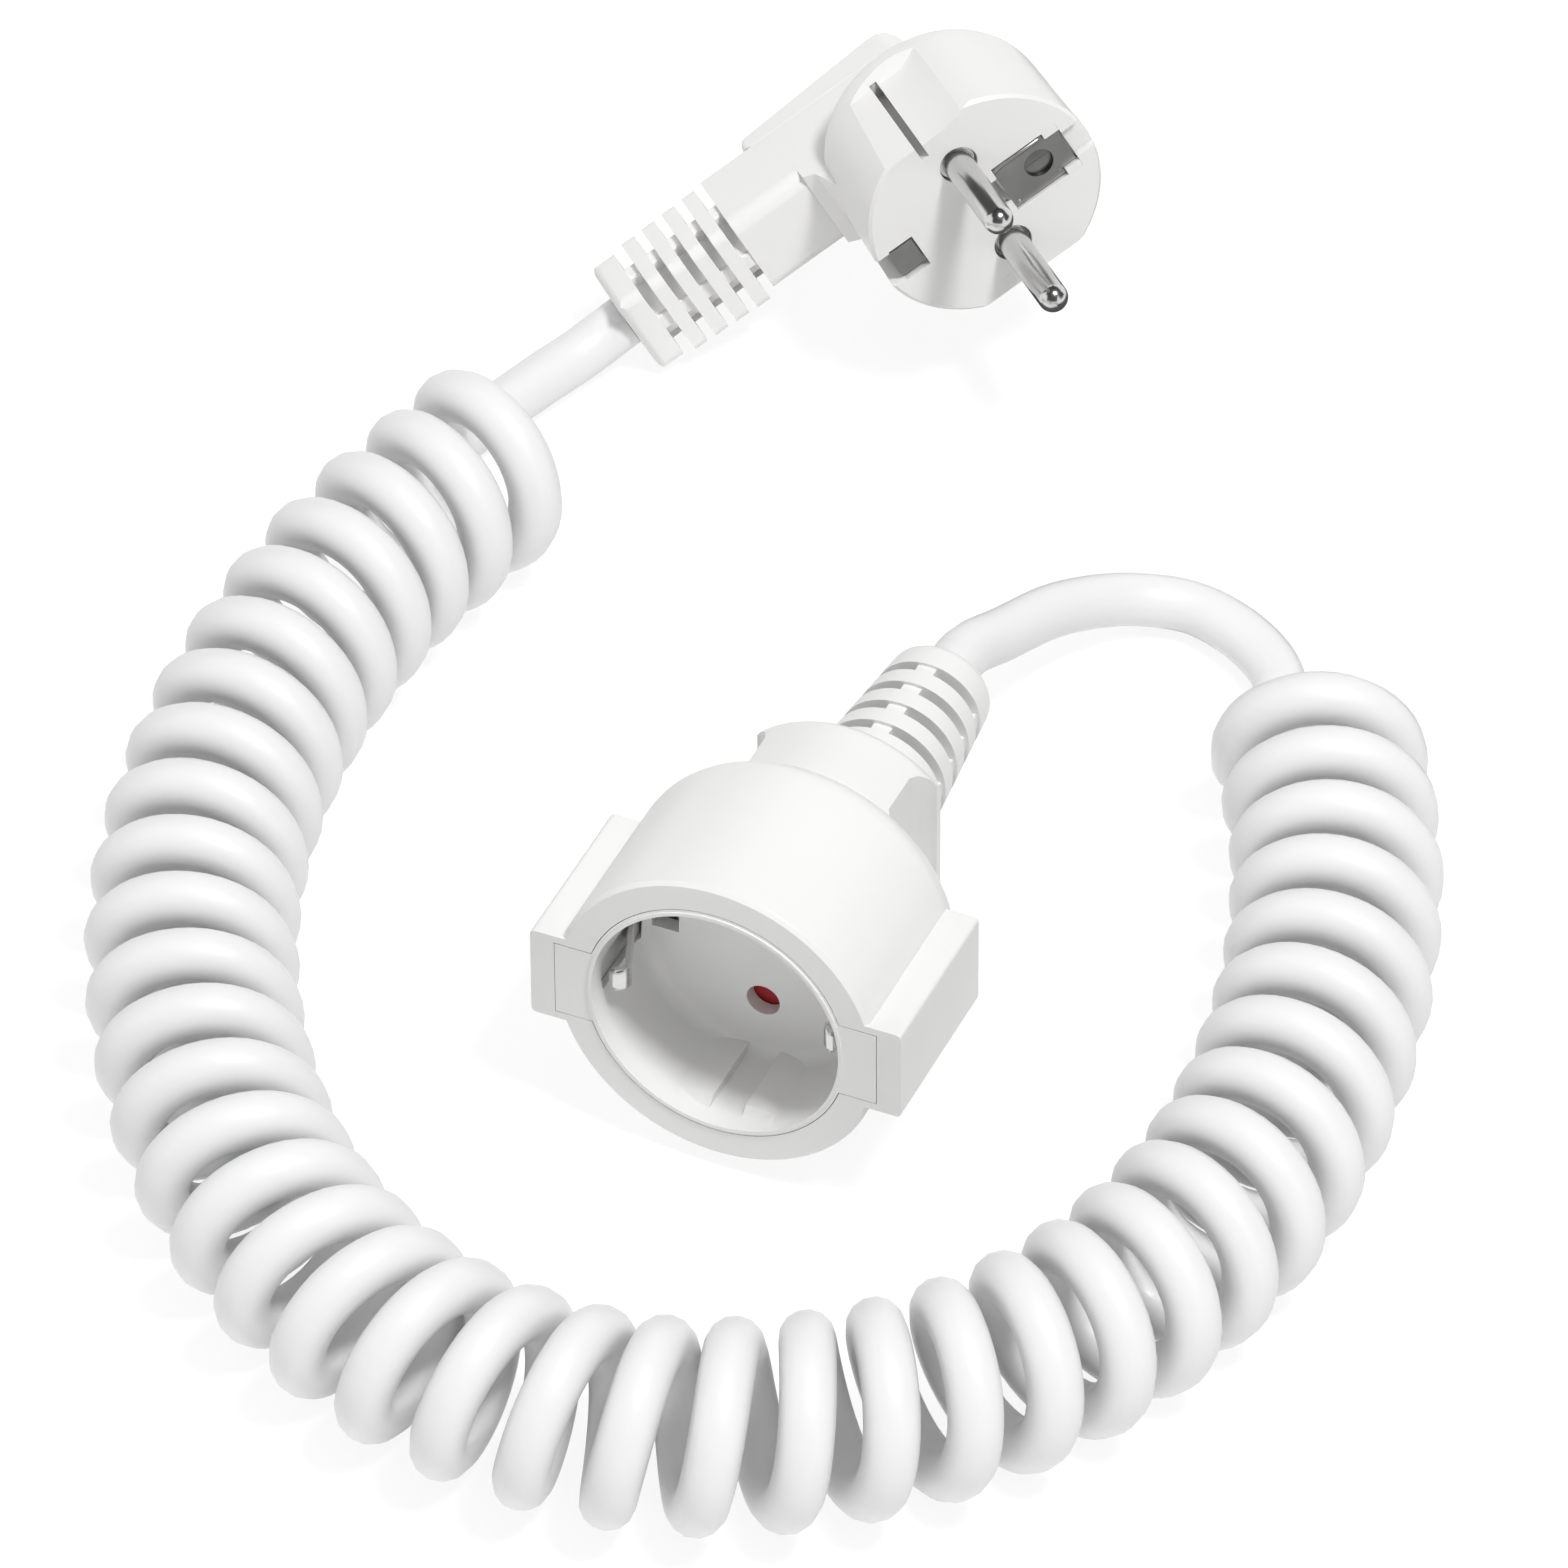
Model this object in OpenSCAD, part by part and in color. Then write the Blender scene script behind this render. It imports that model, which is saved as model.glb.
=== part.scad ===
// Curly extension cord in millimetres: an earthed coupler, a coiled lead and an earthed plug.
// The coupler lies at the origin with its opening towards -Y, and +Z is up from the table.

/* [Cord] */
// Outside diameter of the cord's jacket
cord_d = 8.4; // [7.6:0.1:8.8]
// Diameter of one insulated core
core_d = 2.4; // [2:0.1:2.6]

/* [Coil] */
// Radius of a curl, from the coil's middle to the middle of the cord
curl_r = 12; // [11:0.5:13]
// Number of whole and half curls
curls = 38.5; // [34.5:1:38.5]
// Length of the coil's axis taken by the curls between two route points
curls_per_point = 3; // [3:1:3]

/* [Coupler shell] */
// Radius of the round housing
bell_r = 26; // [25:0.5:28]
// Length of the round housing, to the end of its rounded rear edge
bell_len = 34; // [33:0.5:37]
// Radius of the neck's round top and bottom
neck_r = 20.3; // [19:0.1:21]
// Distance from the face to the rear of the neck
neck_end = 50; // [49:0.5:53]
// Half width of the neck at the finger scoops
scoop_x = 11.8; // [10.5:0.1:12.5]
// Half width of the flange at the rear of the neck
flange_x = 14.7; // [13.5:0.1:15.5]
// Wall of the neck
neck_wall = 2.4; // [2:0.1:2.6]
// Half width of the housing across its two grip wings
wing_x = 30; // [29:0.5:32]
// Half height of a grip wing
wing_y = 8; // [7.6:0.1:9]
// Length of a grip wing
wing_len = 29; // [25:0.5:30]
// Angle by which the coupler's face looks up
coupler_tilt = 5; // [2:0.5:8]
// Turn of the coupler about its own axis
coupler_roll = 2.5; // [0:0.5:4]

/* [Recess] */
// Radius of the recess that takes a plug
recess_r = 20; // [19.8:0.1:20.4]
// Depth of the recess
recess_depth = 17.5; // [17:0.1:18]
// Wall of the cup round the recess
cup_wall = 1; // [0.9:0.1:1.3]
// Radius between the recess wall and its floor
cup_round = 2.5; // [1.5:0.5:2.5]
// Height of the cup's lip above the face
lip = 0.25; // [0.1:0.05:0.4]
// Thickness of the recess floor
cup_floor = 2.5; // [2:0.1:3]
// Clearance between the cup and the shell
cup_gap = 0.1; // [0.05:0.05:0.3]
// Diameter of a pin hole in the recess floor
pin_hole_d = 5.4; // [5.2:0.1:5.8]
// Half height of the cup's side tabs
tab_y = 6.6; // [6:0.1:7]
// Distance from the axis to the end of a side tab
tab_x = 26; // [25:0.5:27]
// Thickness of a side tab
tab_t = 3; // [2:0.5:4]
// Distance from the axis to the flat of a guide rib
rib_y = 18.4; // [18.3:0.1:19]
// Depth below the face at which the guide ribs start
rib_start = 2.6; // [1:0.2:4]

/* [Contacts] */
// Distance between the two pins' axes
pin_pitch = 19; // [18.8:0.1:19.2]
// Diameter of a pin
pin_d = 4.8; // [4.7:0.1:4.9]
// Length of a pin beyond the plug's face
pin_len = 19; // [18:0.5:19.5]
// Radial play of a pin in its sleeve
sleeve_play = 0.05; // [0.02:0.01:0.08]
// Wall of a contact sleeve
sleeve_wall = 0.85; // [0.6:0.05:1]
// Thickness of the coupler's earth strip
bow_t = 0.8; // [0.6:0.1:1]
// Width of the coupler's earth strip
bow_w = 4; // [3.6:0.2:4.4]
// Distance from the axis to the middle of an earth clip's nose
clip_x = 16.3; // [15.8:0.1:16.6]
// Depth of that nose below the face
clip_z = 4.8; // [4:0.2:6]

/* [Shutter] */
// Thickness of the shutter's blades
shutter_t = 1.6; // [1.2:0.1:1.8]
// Half angle of a blade
blade_half_angle = 19; // [18:0.5:20]
// Outer radius of the blades
blade_r = 12.6; // [12.4:0.1:13]
// Angle by which the shutter turns open
shutter_turn = 42; // [40:1:44]
// Diameter of the post that carries the shutter
post_d = 4; // [3.6:0.1:4.2]
// Radial play of the shutter on its post
post_play = 0.05; // [0.03:0.01:0.1]
// Diameter of the return spring's wire
spring_wire_d = 0.5; // [0.4:0.1:0.6]

/* [Coupler boot] */
// Radius of the boot where it leaves the neck
boot_base_r = 11.4; // [10.5:0.1:12]
// Radius of the boot at its end
boot_tip_r = 8.4; // [7.5:0.1:9]
// Length of the boot behind the neck
boot_len = 35; // [33:0.5:38]
// Rows of slots in the coupler's boot
boot_rows = 5; // [2:1:5]
// Distance from one row of slots to the next
boot_row_pitch = 5.6; // [5:0.1:5.8]
// Width of a slot in the coupler's boot
boot_slot = 2.2; // [1.6:0.1:2.6]
// Depth of a web's outer face below the ribs beside it
web_drop = 0.8; // [0.4:0.1:1.8]
// Width of the webs between the slots of both boots
web_w = 3; // [2:0.5:4]

/* [Plug] */
// Radius of the plug's round body
plug_r = 19.5; // [19.1:0.1:19.6]
// Half height of the body between its two flats
plug_flat_y = 16.9; // [16.7:0.1:17]
// Half height of the body beside the flat that has the shorter reach
plug_step_y = 18.2; // [17.6:0.1:18.2]
// Depth of the body behind its face
plug_depth = 25.5; // [24:0.1:26]
// Inward taper of the body's rim
plug_taper = 2; // [1:0.5:3]
// Radius of the body's rounded back edge
plug_round = 5; // [4:0.5:5.5]
// Distance from the plug's axis to the guide grooves
groove_x = -3.6; // [-4:0.1:-3]
// Width of a guide groove
groove_w = 1.3; // [1:0.1:1.6]
// Depth of a guide groove
groove_depth = 2.6; // [1:0.1:2.6]
// Length of a guide groove from the face
groove_len = 19.3; // [17:0.1:20]
// Half width of the neck that leads to the cord
plug_neck_y = 8; // [7:0.1:8.4]
// Distance from the plug's axis to the end of the neck
plug_neck_x = 34.6; // [33:0.1:36]
// Distance from the plug's face to the cord's axis
cord_drop = 28.6; // [28:0.1:29]
// Height of the neck's section
plug_neck_h = 13.6; // [13:0.1:14]
// Thickness of the lid where it starts on the neck
lid_t = 2.8; // [2:0.2:4]
// Thickness of the lid at its far end
lid_end_t = 5.4; // [4:0.2:6]
// Length of the lid on the neck
lid_len = 31; // [28:0.2:32]

/* [Plug boot] */
// Width of the rib of the plug's boot next to the neck
plug_boot_w = 17.2; // [16:0.1:18]
// Height of that rib
plug_boot_h = 14.4; // [13.6:0.1:15]
// Height and width that the boot loses over its length
plug_boot_slim = 0.8; // [0:0.1:2]
// Length of the plug's boot
plug_boot_len = 22; // [21.5:0.1:24]
// Ribs of the plug's boot
plug_ribs = 4; // [3:1:4]
// Thickness of a rib
plug_rib_t = 2.4; // [2:0.1:2.8]
// Distance from one rib to the next
plug_rib_pitch = 3.95; // [3.6:0.05:4.1]
// Length of the solid end of the plug's boot
plug_cap_len = 4.4; // [4:0.1:5]

/* [Plug contacts] */
// Distance from the plug's axis to the earth contact's bore
earth_x = 10.4; // [10.2:0.1:10.6]
// Diameter of the earth contact's bore
earth_bore_d = 4.9; // [4.8:0.1:5]
// Length of the earth contact's sleeve
earth_sleeve_len = 11; // [9:0.5:12]
// Thickness of the plug's earth strip
strip_t = 0.8; // [0.6:0.1:0.9]
// Width of the plug's earth strip
strip_w = 5; // [4.4:0.2:5.2]
// Distance from the plug's axis to a side contact's outer face
leaf_x = 17.2; // [17:0.1:17.4]

/* [Hidden] */
$fn = 72;

white = "#f2f2f0";
ivory = "#eceae4";
red = "#c8301c";
nickel = "#c9ccce";
dark_metal = "#8a8680";
fit = 0.1;         // gap between fixed pieces that fit in one another
cut = 0.5;         // overshoot of a cutting solid
pin_y = pin_pitch / 2;

// ---- Coupler, in its own frame: the face is at z = 0 and the opening looks along +Z ----
bell_round = bell_r - neck_r;
cup_r = recess_r + cup_wall;
cup_depth = recess_depth + cup_floor;
shell_bore_r = cup_r + cup_gap;
shutter_top = cup_depth + 0.3;
shutter_bottom = shutter_top + shutter_t;
carrier_top = shutter_bottom + 0.4;
carrier_plate = 8;                                  // thickness of the carrier's round plate
plate_end = carrier_top + carrier_plate;
sleeve_top = carrier_top + 0.2;
sleeve_end = recess_depth + pin_len + 0.3;
sleeve_r = pin_d / 2 + sleeve_play + sleeve_wall;
carrier_end = sleeve_end + 1;
crimp_r = core_d / 2 + 0.6;
crimp_len = 3.6;
cavity_x = scoop_x - neck_wall;
cavity_y = 15;
cavity_end = neck_end - 3.2;
coupler_jacket_start = cavity_end - 1.8;
boot_end = neck_end + boot_len;
boot_bore_r = cord_d / 2 + fit;
spigot_r = 6;
first_slot = 5.5;                                   // from the neck to the middle of the first slots
strap_z = carrier_top + 3.6;                        // top face of the earth strap
arm_x = 20.2;                                       // middle of the earth bow's arms
eye_r = 3.8;                                        // the strap widens to an eye round the post
earth_tab_x = 5.5;
window_y = bow_w / 2 + 1;
lug_angle = 6;

// ---- Plug, in its own frame: the face is at z = 0 and the pins point along +Z ----
plate_z = 0.6;                                      // depth of the earth plate below the face
plate_pocket = plate_z + strip_t + fit;
strap_top = plate_pocket + 0.6;                     // top face of the earth strap under the face
bridge_x = 6.2;
bridge_y = 13;
collar_r = 3.05;                                    // flange at the foot of a pin
collar_z = 0.8;                                     // depth of that flange below the face
collar_t = 0.8;
bridge_top = strap_top + strip_t + 0.5;
bridge_t = 4.4;
bridge_bottom = bridge_top + bridge_t;
chamber_bottom = plug_depth - 2.1;
channel_y = 5;
plug_crimp_len = 3;
plug_jacket_start = 22;
neck_middle = cord_drop + 0.5;
neck_back = neck_middle + plug_neck_h / 2;
neck_front = neck_middle - plug_neck_h / 2;
channel_top = cord_drop - cord_d / 2 - 0.2;
plug_boot_end = plug_neck_x + plug_boot_len;
earth_sleeve_r = earth_bore_d / 2 + 0.8;
notch_y = strip_w / 2 + 0.5;
notch_x = leaf_x - strip_t - fit;
notch_depth = 15;
lid_start = 8.4 - plug_neck_x;
plug_tab_x = 5.6;
crease_z = 21;                                      // the flats have run out at this depth below the face

// ---- How the two ends lie on the table ----
coupler_face = [0,
    (boot_end * -cos(coupler_tilt) + (bell_r - boot_tip_r) * sin(coupler_tilt)) / 2,
    neck_r * cos(coupler_tilt) + (bell_len - bell_round) * sin(coupler_tilt) + bell_round];
plug_face = [-29.9, 128.1, 36.4];
plug_turn = [79, -25, 50];

function turn_x(a, p) = [p.x, p.y * cos(a) - p.z * sin(a), p.y * sin(a) + p.z * cos(a)];
function turn_y(a, p) = [p.x * cos(a) + p.z * sin(a), p.y, p.z * cos(a) - p.x * sin(a)];
function turn_z(a, p) = [p.x * cos(a) - p.y * sin(a), p.x * sin(a) + p.y * cos(a), p.z];
function coupler_point(p) = coupler_face + turn_x(90 - coupler_tilt, turn_z(coupler_roll, p));
function plug_point(p) = plug_face + turn_z(plug_turn.z, turn_y(plug_turn.y, turn_x(plug_turn.x, p)));

module place_coupler() translate(coupler_face) rotate([90 - coupler_tilt, 0, 0])
    rotate([0, 0, coupler_roll]) children();
module place_plug() translate(plug_face) rotate(plug_turn) children();

// ---- The cord's route on the table ----
// Middle of the coil, one point for every three curls, from the plug's end to the coupler's.
coil_route = [[-84.5, 65], [-93, 31.5], [-94.3, -3], [-87.5, -37], [-72, -67.7], [-48.7, -93],
              [-18, -108.2], [16.4, -108.6], [47, -92.8], [68.8, -66.3], [79, -33.5], [78, 1],
              [68.5, 34.3], [52, 64.5]];
// Middles of the two tails, from a boot's end down to the table.
coupler_tail_route = [[2.3, 61, 16.4], [5.3, 72.3, 12], [9.3, 80.6, 8.2], [14.4, 86.2, 5.6]];
coupler_tail_bend = [[21.7, 89], [29.2, 87.6], [36, 84.2], [40.6, 79.7]];
plug_tail_low = [-86, 104.4, 5.3];
plug_tail_bend = [[-88.1, 100.5], [-90.5, 94.8]];
plug_lead_route = [[-93, 88.3], [-95.6, 81]];
coupler_lead_route = [[42.5, 66], [42, 74.4]];
tube_sides = 10;
curl_sides = 6;
rings_per_curl = 8;
curl_facet_r = cord_d / 2 * 1.05;                   // corners of the curls' six-sided section
coil_z = curl_r + curl_facet_r;
floor_z = cord_d / 2 + 0.2;                         // middle of a cord that lies on the table
function on_floor(route) = [for (p = route) [p.x, p.y, floor_z]];
plug_lead = on_floor(plug_lead_route);
coupler_lead = on_floor(coupler_lead_route);
coupler_exit = coupler_point([0, 0, -boot_end]);
plug_exit = plug_point([-plug_boot_end, 0, -cord_drop]);
coupler_tail_points = concat([coupler_exit, coupler_point([0, 0, -boot_end - cord_d])],
    coupler_tail_route, on_floor(coupler_tail_bend), [coupler_lead[1]]);
plug_tail_points = concat([plug_exit, plug_point([-plug_boot_end - 1.5, 0, -cord_drop])],
    [plug_tail_low], on_floor(plug_tail_bend), [plug_lead[0]]);

function unit(v) = v / norm(v);
// A point on the smooth curve through a list of points, at t from 0 to the last index.
function curve_point(p, t) =
    let (n = len(p) - 1, i = max(0, min(n - 1, floor(t))), u = t - i,
         b = p[i], c = p[i + 1],
         a = i == 0 ? 2 * b - c : p[i - 1],
         d = i == n - 1 ? 2 * c - b : p[i + 2])
    (2 * b + (c - a) * u + (2 * a - 5 * b + 4 * c - d) * u ^ 2 + (3 * b - a - 3 * c + d) * u ^ 3) / 2;
// A point of a bend that leaves a along the vector m and reaches b along the vector n.
function bend_point(a, m, b, n, u) =
    a * (2 * u ^ 3 - 3 * u ^ 2 + 1) + m * (u ^ 3 - 2 * u ^ 2 + u)
    + b * (3 * u ^ 2 - 2 * u ^ 3) + n * (u ^ 3 - u ^ 2);

function coil_middle(t) = curve_point(coil_route, t / curls_per_point);
function coil_outward(t) =
    let (d = unit(coil_middle(t + 0.05) - coil_middle(t - 0.05))) [d.y, -d.x, 0];
// A point of the curls: t counts the curls, and a curl starts on the outside and rises.
function curl_radial(t) = cos(360 * t) * coil_outward(t) + [0, 0, sin(360 * t)];
function curl_point(t) = let (m = coil_middle(t)) [m.x, m.y, coil_z] + curl_r * curl_radial(t);
function curl_direction(t) = unit(curl_point(t + 0.01) - curl_point(t - 0.01));

bend_pull = 1.66 * curl_r;                          // pull of a quarter bend as tight as a curl
bend_rings = 4;
cord_path = concat(
    [plug_lead[0]],
    [for (i = [0:bend_rings - 1])
        bend_point(plug_lead[1], bend_pull * unit(plug_lead[1] - plug_lead[0]),
                   curl_point(0), bend_pull * curl_direction(0), i / bend_rings)],
    [for (i = [0:curls * rings_per_curl]) curl_point(i / rings_per_curl)],
    [for (i = [1:bend_rings])
        bend_point(curl_point(curls), bend_pull * curl_direction(curls),
                   coupler_lead[0], bend_pull * unit(coupler_lead[1] - coupler_lead[0]),
                   i / bend_rings)],
    [coupler_lead[1]]);

// The six-sided section keeps a corner away from the coil's middle, so its flats face the next curl.
cord_corners = concat(
    [for (i = [0:bend_rings]) coil_outward(0)],
    [for (i = [0:curls * rings_per_curl]) curl_radial(i / rings_per_curl)],
    [for (i = [0:bend_rings]) curl_radial(curls)]);
cord_rings = [for (i = [0:len(cord_path) - 1])
    let (d = direction(cord_path, i), u = square_to(cord_corners[i], d))
    ring(cord_path[i], u, cross(d, u), curl_facet_r, curl_sides)];

// Least distance between surface points of cord stretches that are at least half a curl apart.
coil_gap = min([for (i = [0:len(cord_rings) - 6]) for (j = [i + 5:min(i + 10, len(cord_rings) - 1)])
    for (a = cord_rings[i]) for (b = cord_rings[j]) norm(a - b)]);
echo(least_gap_of_the_coil_to_itself = coil_gap);

// Sweep of a regular polygon along a list of points, with its ends square to the path.
function direction(p, i) = unit(p[min(i + 1, len(p) - 1)] - p[max(i - 1, 0)]);
function square_to(v, d) = unit(v - (v * d) * d);
function ring(c, u, w, r, sides) =
    [for (k = [0:sides - 1]) c + r * (cos(360 * k / sides) * u + sin(360 * k / sides) * w)];
function side_vectors(p) =
    [for (i = 0, v = square_to([0, 0, 1], direction(p, 0)); i < len(p);
          v = i + 1 < len(p) ? square_to(v, direction(p, i + 1)) : v, i = i + 1) v];

// Where a tube meets another one, far_direction turns its last ring square to that one.
module tube(p, r, sides, far_direction) {
    last = len(p) - 1;
    u = side_vectors(p);
    rings = [for (i = [0:last])
        let (d = i == last && !is_undef(far_direction) ? far_direction : direction(p, i),
             v = square_to(u[i], d))
        ring(p[i], v, cross(d, v), r, sides)];
    skin(rings, sides);
}
module skin(rings, sides) {
    last = len(rings) - 1;
    points = concat([for (s = rings) for (q = s) q],
                    [middle(rings[0]), middle(rings[last])]);
    side_faces = [for (i = [0:last - 1]) for (k = [0:sides - 1])
        let (a = i * sides + k, b = i * sides + (k + 1) % sides)
        each [[a, b + sides, b], [a, a + sides, b + sides]]];
    end_faces = [for (k = [0:sides - 1])
        let (a = k, b = (k + 1) % sides)
        each [[a, b, len(points) - 2],
              [last * sides + b, last * sides + a, len(points) - 1]]];
    polyhedron(points, concat(side_faces, end_faces), convexity = 10);
}
function middle(s) = [for (q = s) 1] * s / len(s);

// ---- Outlines and shared shapes ----
function arc(cx, cy, r, a0, a1, steps) =
    [for (i = [0:steps]) let (a = a0 + (a1 - a0) * i / steps) [cx + r * cos(a), cy + r * sin(a)]];
function round_rect(hx, hy, r) = concat(
    arc(hx - r, hy - r, r, 0, 90, 4), arc(r - hx, hy - r, r, 90, 180, 4),
    arc(r - hx, r - hy, r, 180, 270, 4), arc(hx - r, r - hy, r, 270, 360, 4));
function mirrored(p) = concat(p, [for (i = [len(p) - 1:-1:0]) [-p[i].x, p[i].y]]);

module bar(x0, x1, y0, y1, z0, z1) translate([x0, y0, z0]) cube([x1 - x0, y1 - y0, z1 - z0]);
module across_y(half) rotate([90, 0, 0]) translate([0, 0, -half]) linear_extrude(2 * half) children();
module sector(r, half_angle, thickness) linear_extrude(thickness) intersection() {
    circle(r);
    polygon([[0, 0], 2 * r * [sin(half_angle), cos(half_angle)],
             2 * r * [-sin(half_angle), cos(half_angle)]]);
}
module web_cross(reach, length) for (a = [0, 90]) rotate(a)
    translate([-reach, -web_w / 2, 0]) cube([2 * reach, web_w, length]);

// ---- Coupler ----
module coupler_shell() color(white) place_coupler() difference() {
    union() {
        rotate_extrude() polygon(concat([[0, 0], [bell_r - 0.6, 0], [bell_r, -0.6]],
            arc(neck_r, bell_round - bell_len, bell_round, 0, -90, 6), [[0, -bell_len]]));
        translate([0, 0, -wing_len]) linear_extrude(wing_len) polygon(round_rect(wing_x, wing_y, 0.8));
        neck();
    }
    translate([0, 0, -plate_end - fit]) cylinder(r = shell_bore_r, h = plate_end + fit + cut);
    bar(-tab_x - fit, tab_x + fit, -tab_y - fit, tab_y + fit, -tab_t - fit, cut);
    bar(-cavity_x, cavity_x, -cavity_y, cavity_y, -cavity_end, -plate_end);
    translate([0, 0, -neck_end - cut]) cylinder(r = spigot_r + fit, h = neck_end);
}
module neck() {
    rear_round = 3;
    half = [[0, bell_round - bell_len], [scoop_x + 7, bell_round - bell_len], [scoop_x + 3, -bell_len],
            [scoop_x + 1, -bell_len - 1.4], [scoop_x, -bell_len - 3.4], [scoop_x, 5 - neck_end],
            [scoop_x + 0.7, 3.4 - neck_end], [flange_x - 0.9, 1.9 - neck_end],
            [flange_x, 1.4 - neck_end], [flange_x, -neck_end], [0, -neck_end]];
    intersection() {
        rotate_extrude() polygon(concat([[0, bell_round - bell_len], [neck_r, bell_round - bell_len]],
            arc(neck_r - rear_round, rear_round - neck_end, rear_round, 0, -90, 4), [[0, -neck_end]]));
        across_y(neck_r + cut) polygon(mirrored(half));
    }
}

module socket_cup() color(ivory) place_coupler() difference() {
    union() {
        difference() {
            union() {
                translate([0, 0, -cup_depth]) cylinder(r = cup_r, h = cup_depth);
                translate([0, 0, -cup_depth]) cylinder(r = recess_r + 0.6, h = cup_depth + lip);
                bar(-tab_x, tab_x, -tab_y, tab_y, -tab_t, 0);
            }
            rotate_extrude() polygon(concat([[0, lip + cut], [recess_r, lip + cut]],
                arc(recess_r - cup_round, cup_round - recess_depth, cup_round, 0, -90, 6),
                [[0, -recess_depth]]));
        }
        for (side = [0, 180]) rotate(side) guide_ribs();
    }
    for (y = [-pin_y, pin_y]) translate([0, y, -cup_depth - cut])
        cylinder(d = pin_hole_d, h = cup_floor + 2 * cut);
    for (side = [0, 180]) rotate(side) {
        bar(arm_x - bow_t / 2 - 0.4, cup_r + cut, -window_y, window_y, -cup_depth - cut, -tab_t - 0.4);
        bar(-18.1, -13.7, -0.9, window_y, -cup_depth - cut, -recess_depth + cup_round);
    }
}
// Two low wedges on the recess wall, with a groove between them, which meet the flats of a plug.
module guide_ribs() {
    wedge = [[rib_y, -recess_depth - fit], [rib_y, -rib_start - 1.6], [recess_r + fit, -rib_start],
             [recess_r + fit, -recess_depth - fit]];
    difference() {
        intersection() {
            translate([0, 0, -recess_depth - fit]) cylinder(r = recess_r + cup_wall / 2, h = recess_depth);
            translate([-recess_r / 2, 0, 0]) rotate([90, 0, 90]) linear_extrude(recess_r) polygon(wedge);
        }
        bar(-3, 2.3, rib_y - cut, recess_r + fit, -recess_depth + fit, 0);
    }
}

module contact_carrier() color("#e4e2da") place_coupler() {
    difference() {
        union() {
            translate([0, 0, -plate_end]) cylinder(r = cup_r, h = carrier_plate);
            bar(fit - cavity_x, cavity_x - fit, fit - cavity_y, cavity_y - fit, -carrier_end, -plate_end);
        }
        for (y = [-pin_y, pin_y]) translate([0, y, 0]) {
            translate([0, 0, -sleeve_end - fit])
                cylinder(r = sleeve_r + fit, h = sleeve_end - carrier_top + cut + fit);
            translate([0, 0, -carrier_end - cut]) cylinder(r = crimp_r + fit, h = carrier_end);
        }
        bar(-cup_r - cut, cup_r + cut, -bow_w / 2 - fit, bow_w / 2 + fit,
            -strap_z - bow_t - fit, -carrier_top + cut);
        bar(earth_tab_x - bow_t / 2 - fit, earth_tab_x + bow_t / 2 + fit,
            -bow_w / 2 - fit, bow_w / 2 + fit, -carrier_end - cut, -strap_z);
        translate([earth_tab_x, 0, -carrier_end - cut])
            cylinder(r = crimp_r + fit, h = carrier_end - sleeve_end + cut + fit);
        translate([0, 0, -strap_z - bow_t - fit]) cylinder(r = eye_r + 0.5, h = strap_z);
    }
    translate([0, 0, -strap_z - bow_t - fit])
        cylinder(d = post_d, h = strap_z + bow_t + fit - shutter_top + 0.2);
    for (a = [-blade_half_angle - lug_angle / 2 - 1.5,
              shutter_turn + blade_half_angle + lug_angle / 2 + 1.5]) rotate(a)
        translate([0, 0, -carrier_top - cut]) difference() {
            sector(blade_r, lug_angle / 2, carrier_top - shutter_top + cut);
            translate([0, 0, -cut]) cylinder(r = blade_r - 2.8, h = 10);
        }
}

module shutter() color(red) place_coupler() translate([0, 0, -shutter_bottom]) difference() {
    union() {
        cylinder(r = 5, h = shutter_t);
        for (side = [0, 180]) rotate(side) sector(blade_r, blade_half_angle, shutter_t);
    }
    translate([0, 0, -cut]) cylinder(r = post_d / 2 + post_play, h = shutter_t + 2 * cut);
}

// Return spring of the shutter: three coils round the post, with a short leg at each end.
module shutter_spring() {
    coil_r = post_d / 2 + 1.2;
    low = strap_z - spring_wire_d / 2 - 0.2;
    high = shutter_bottom + spring_wire_d / 2 + 0.1;
    turns = 3;
    wire = concat([coupler_point([coil_r, -2, -low])],
        [for (i = [0:turns * 10]) let (a = 36 * i)
            coupler_point([coil_r * cos(a), coil_r * sin(a), -low + (low - high) * i / (turns * 10)])],
        [coupler_point([coil_r, 2, -high])]);
    color(nickel) tube(wire, spring_wire_d / 2, 6);
}

module contact_sleeve() color(nickel) place_coupler() difference() {
    union() {
        translate([0, 0, -sleeve_end]) cylinder(r = sleeve_r, h = sleeve_end - sleeve_top);
        translate([0, 0, -sleeve_end - crimp_len]) cylinder(r = crimp_r, h = crimp_len + cut);
    }
    translate([0, 0, -sleeve_end + 0.8]) cylinder(r = pin_d / 2 + sleeve_play, h = sleeve_end);
}
module live_sleeve() at_pin(1) contact_sleeve();
module neutral_sleeve() at_pin(-1) contact_sleeve();
// Moves what is drawn on the coupler's axis to the axis of one pin hole.
module at_pin(side) translate(coupler_point([0, side * pin_y, 0]) - coupler_face) children();

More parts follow.
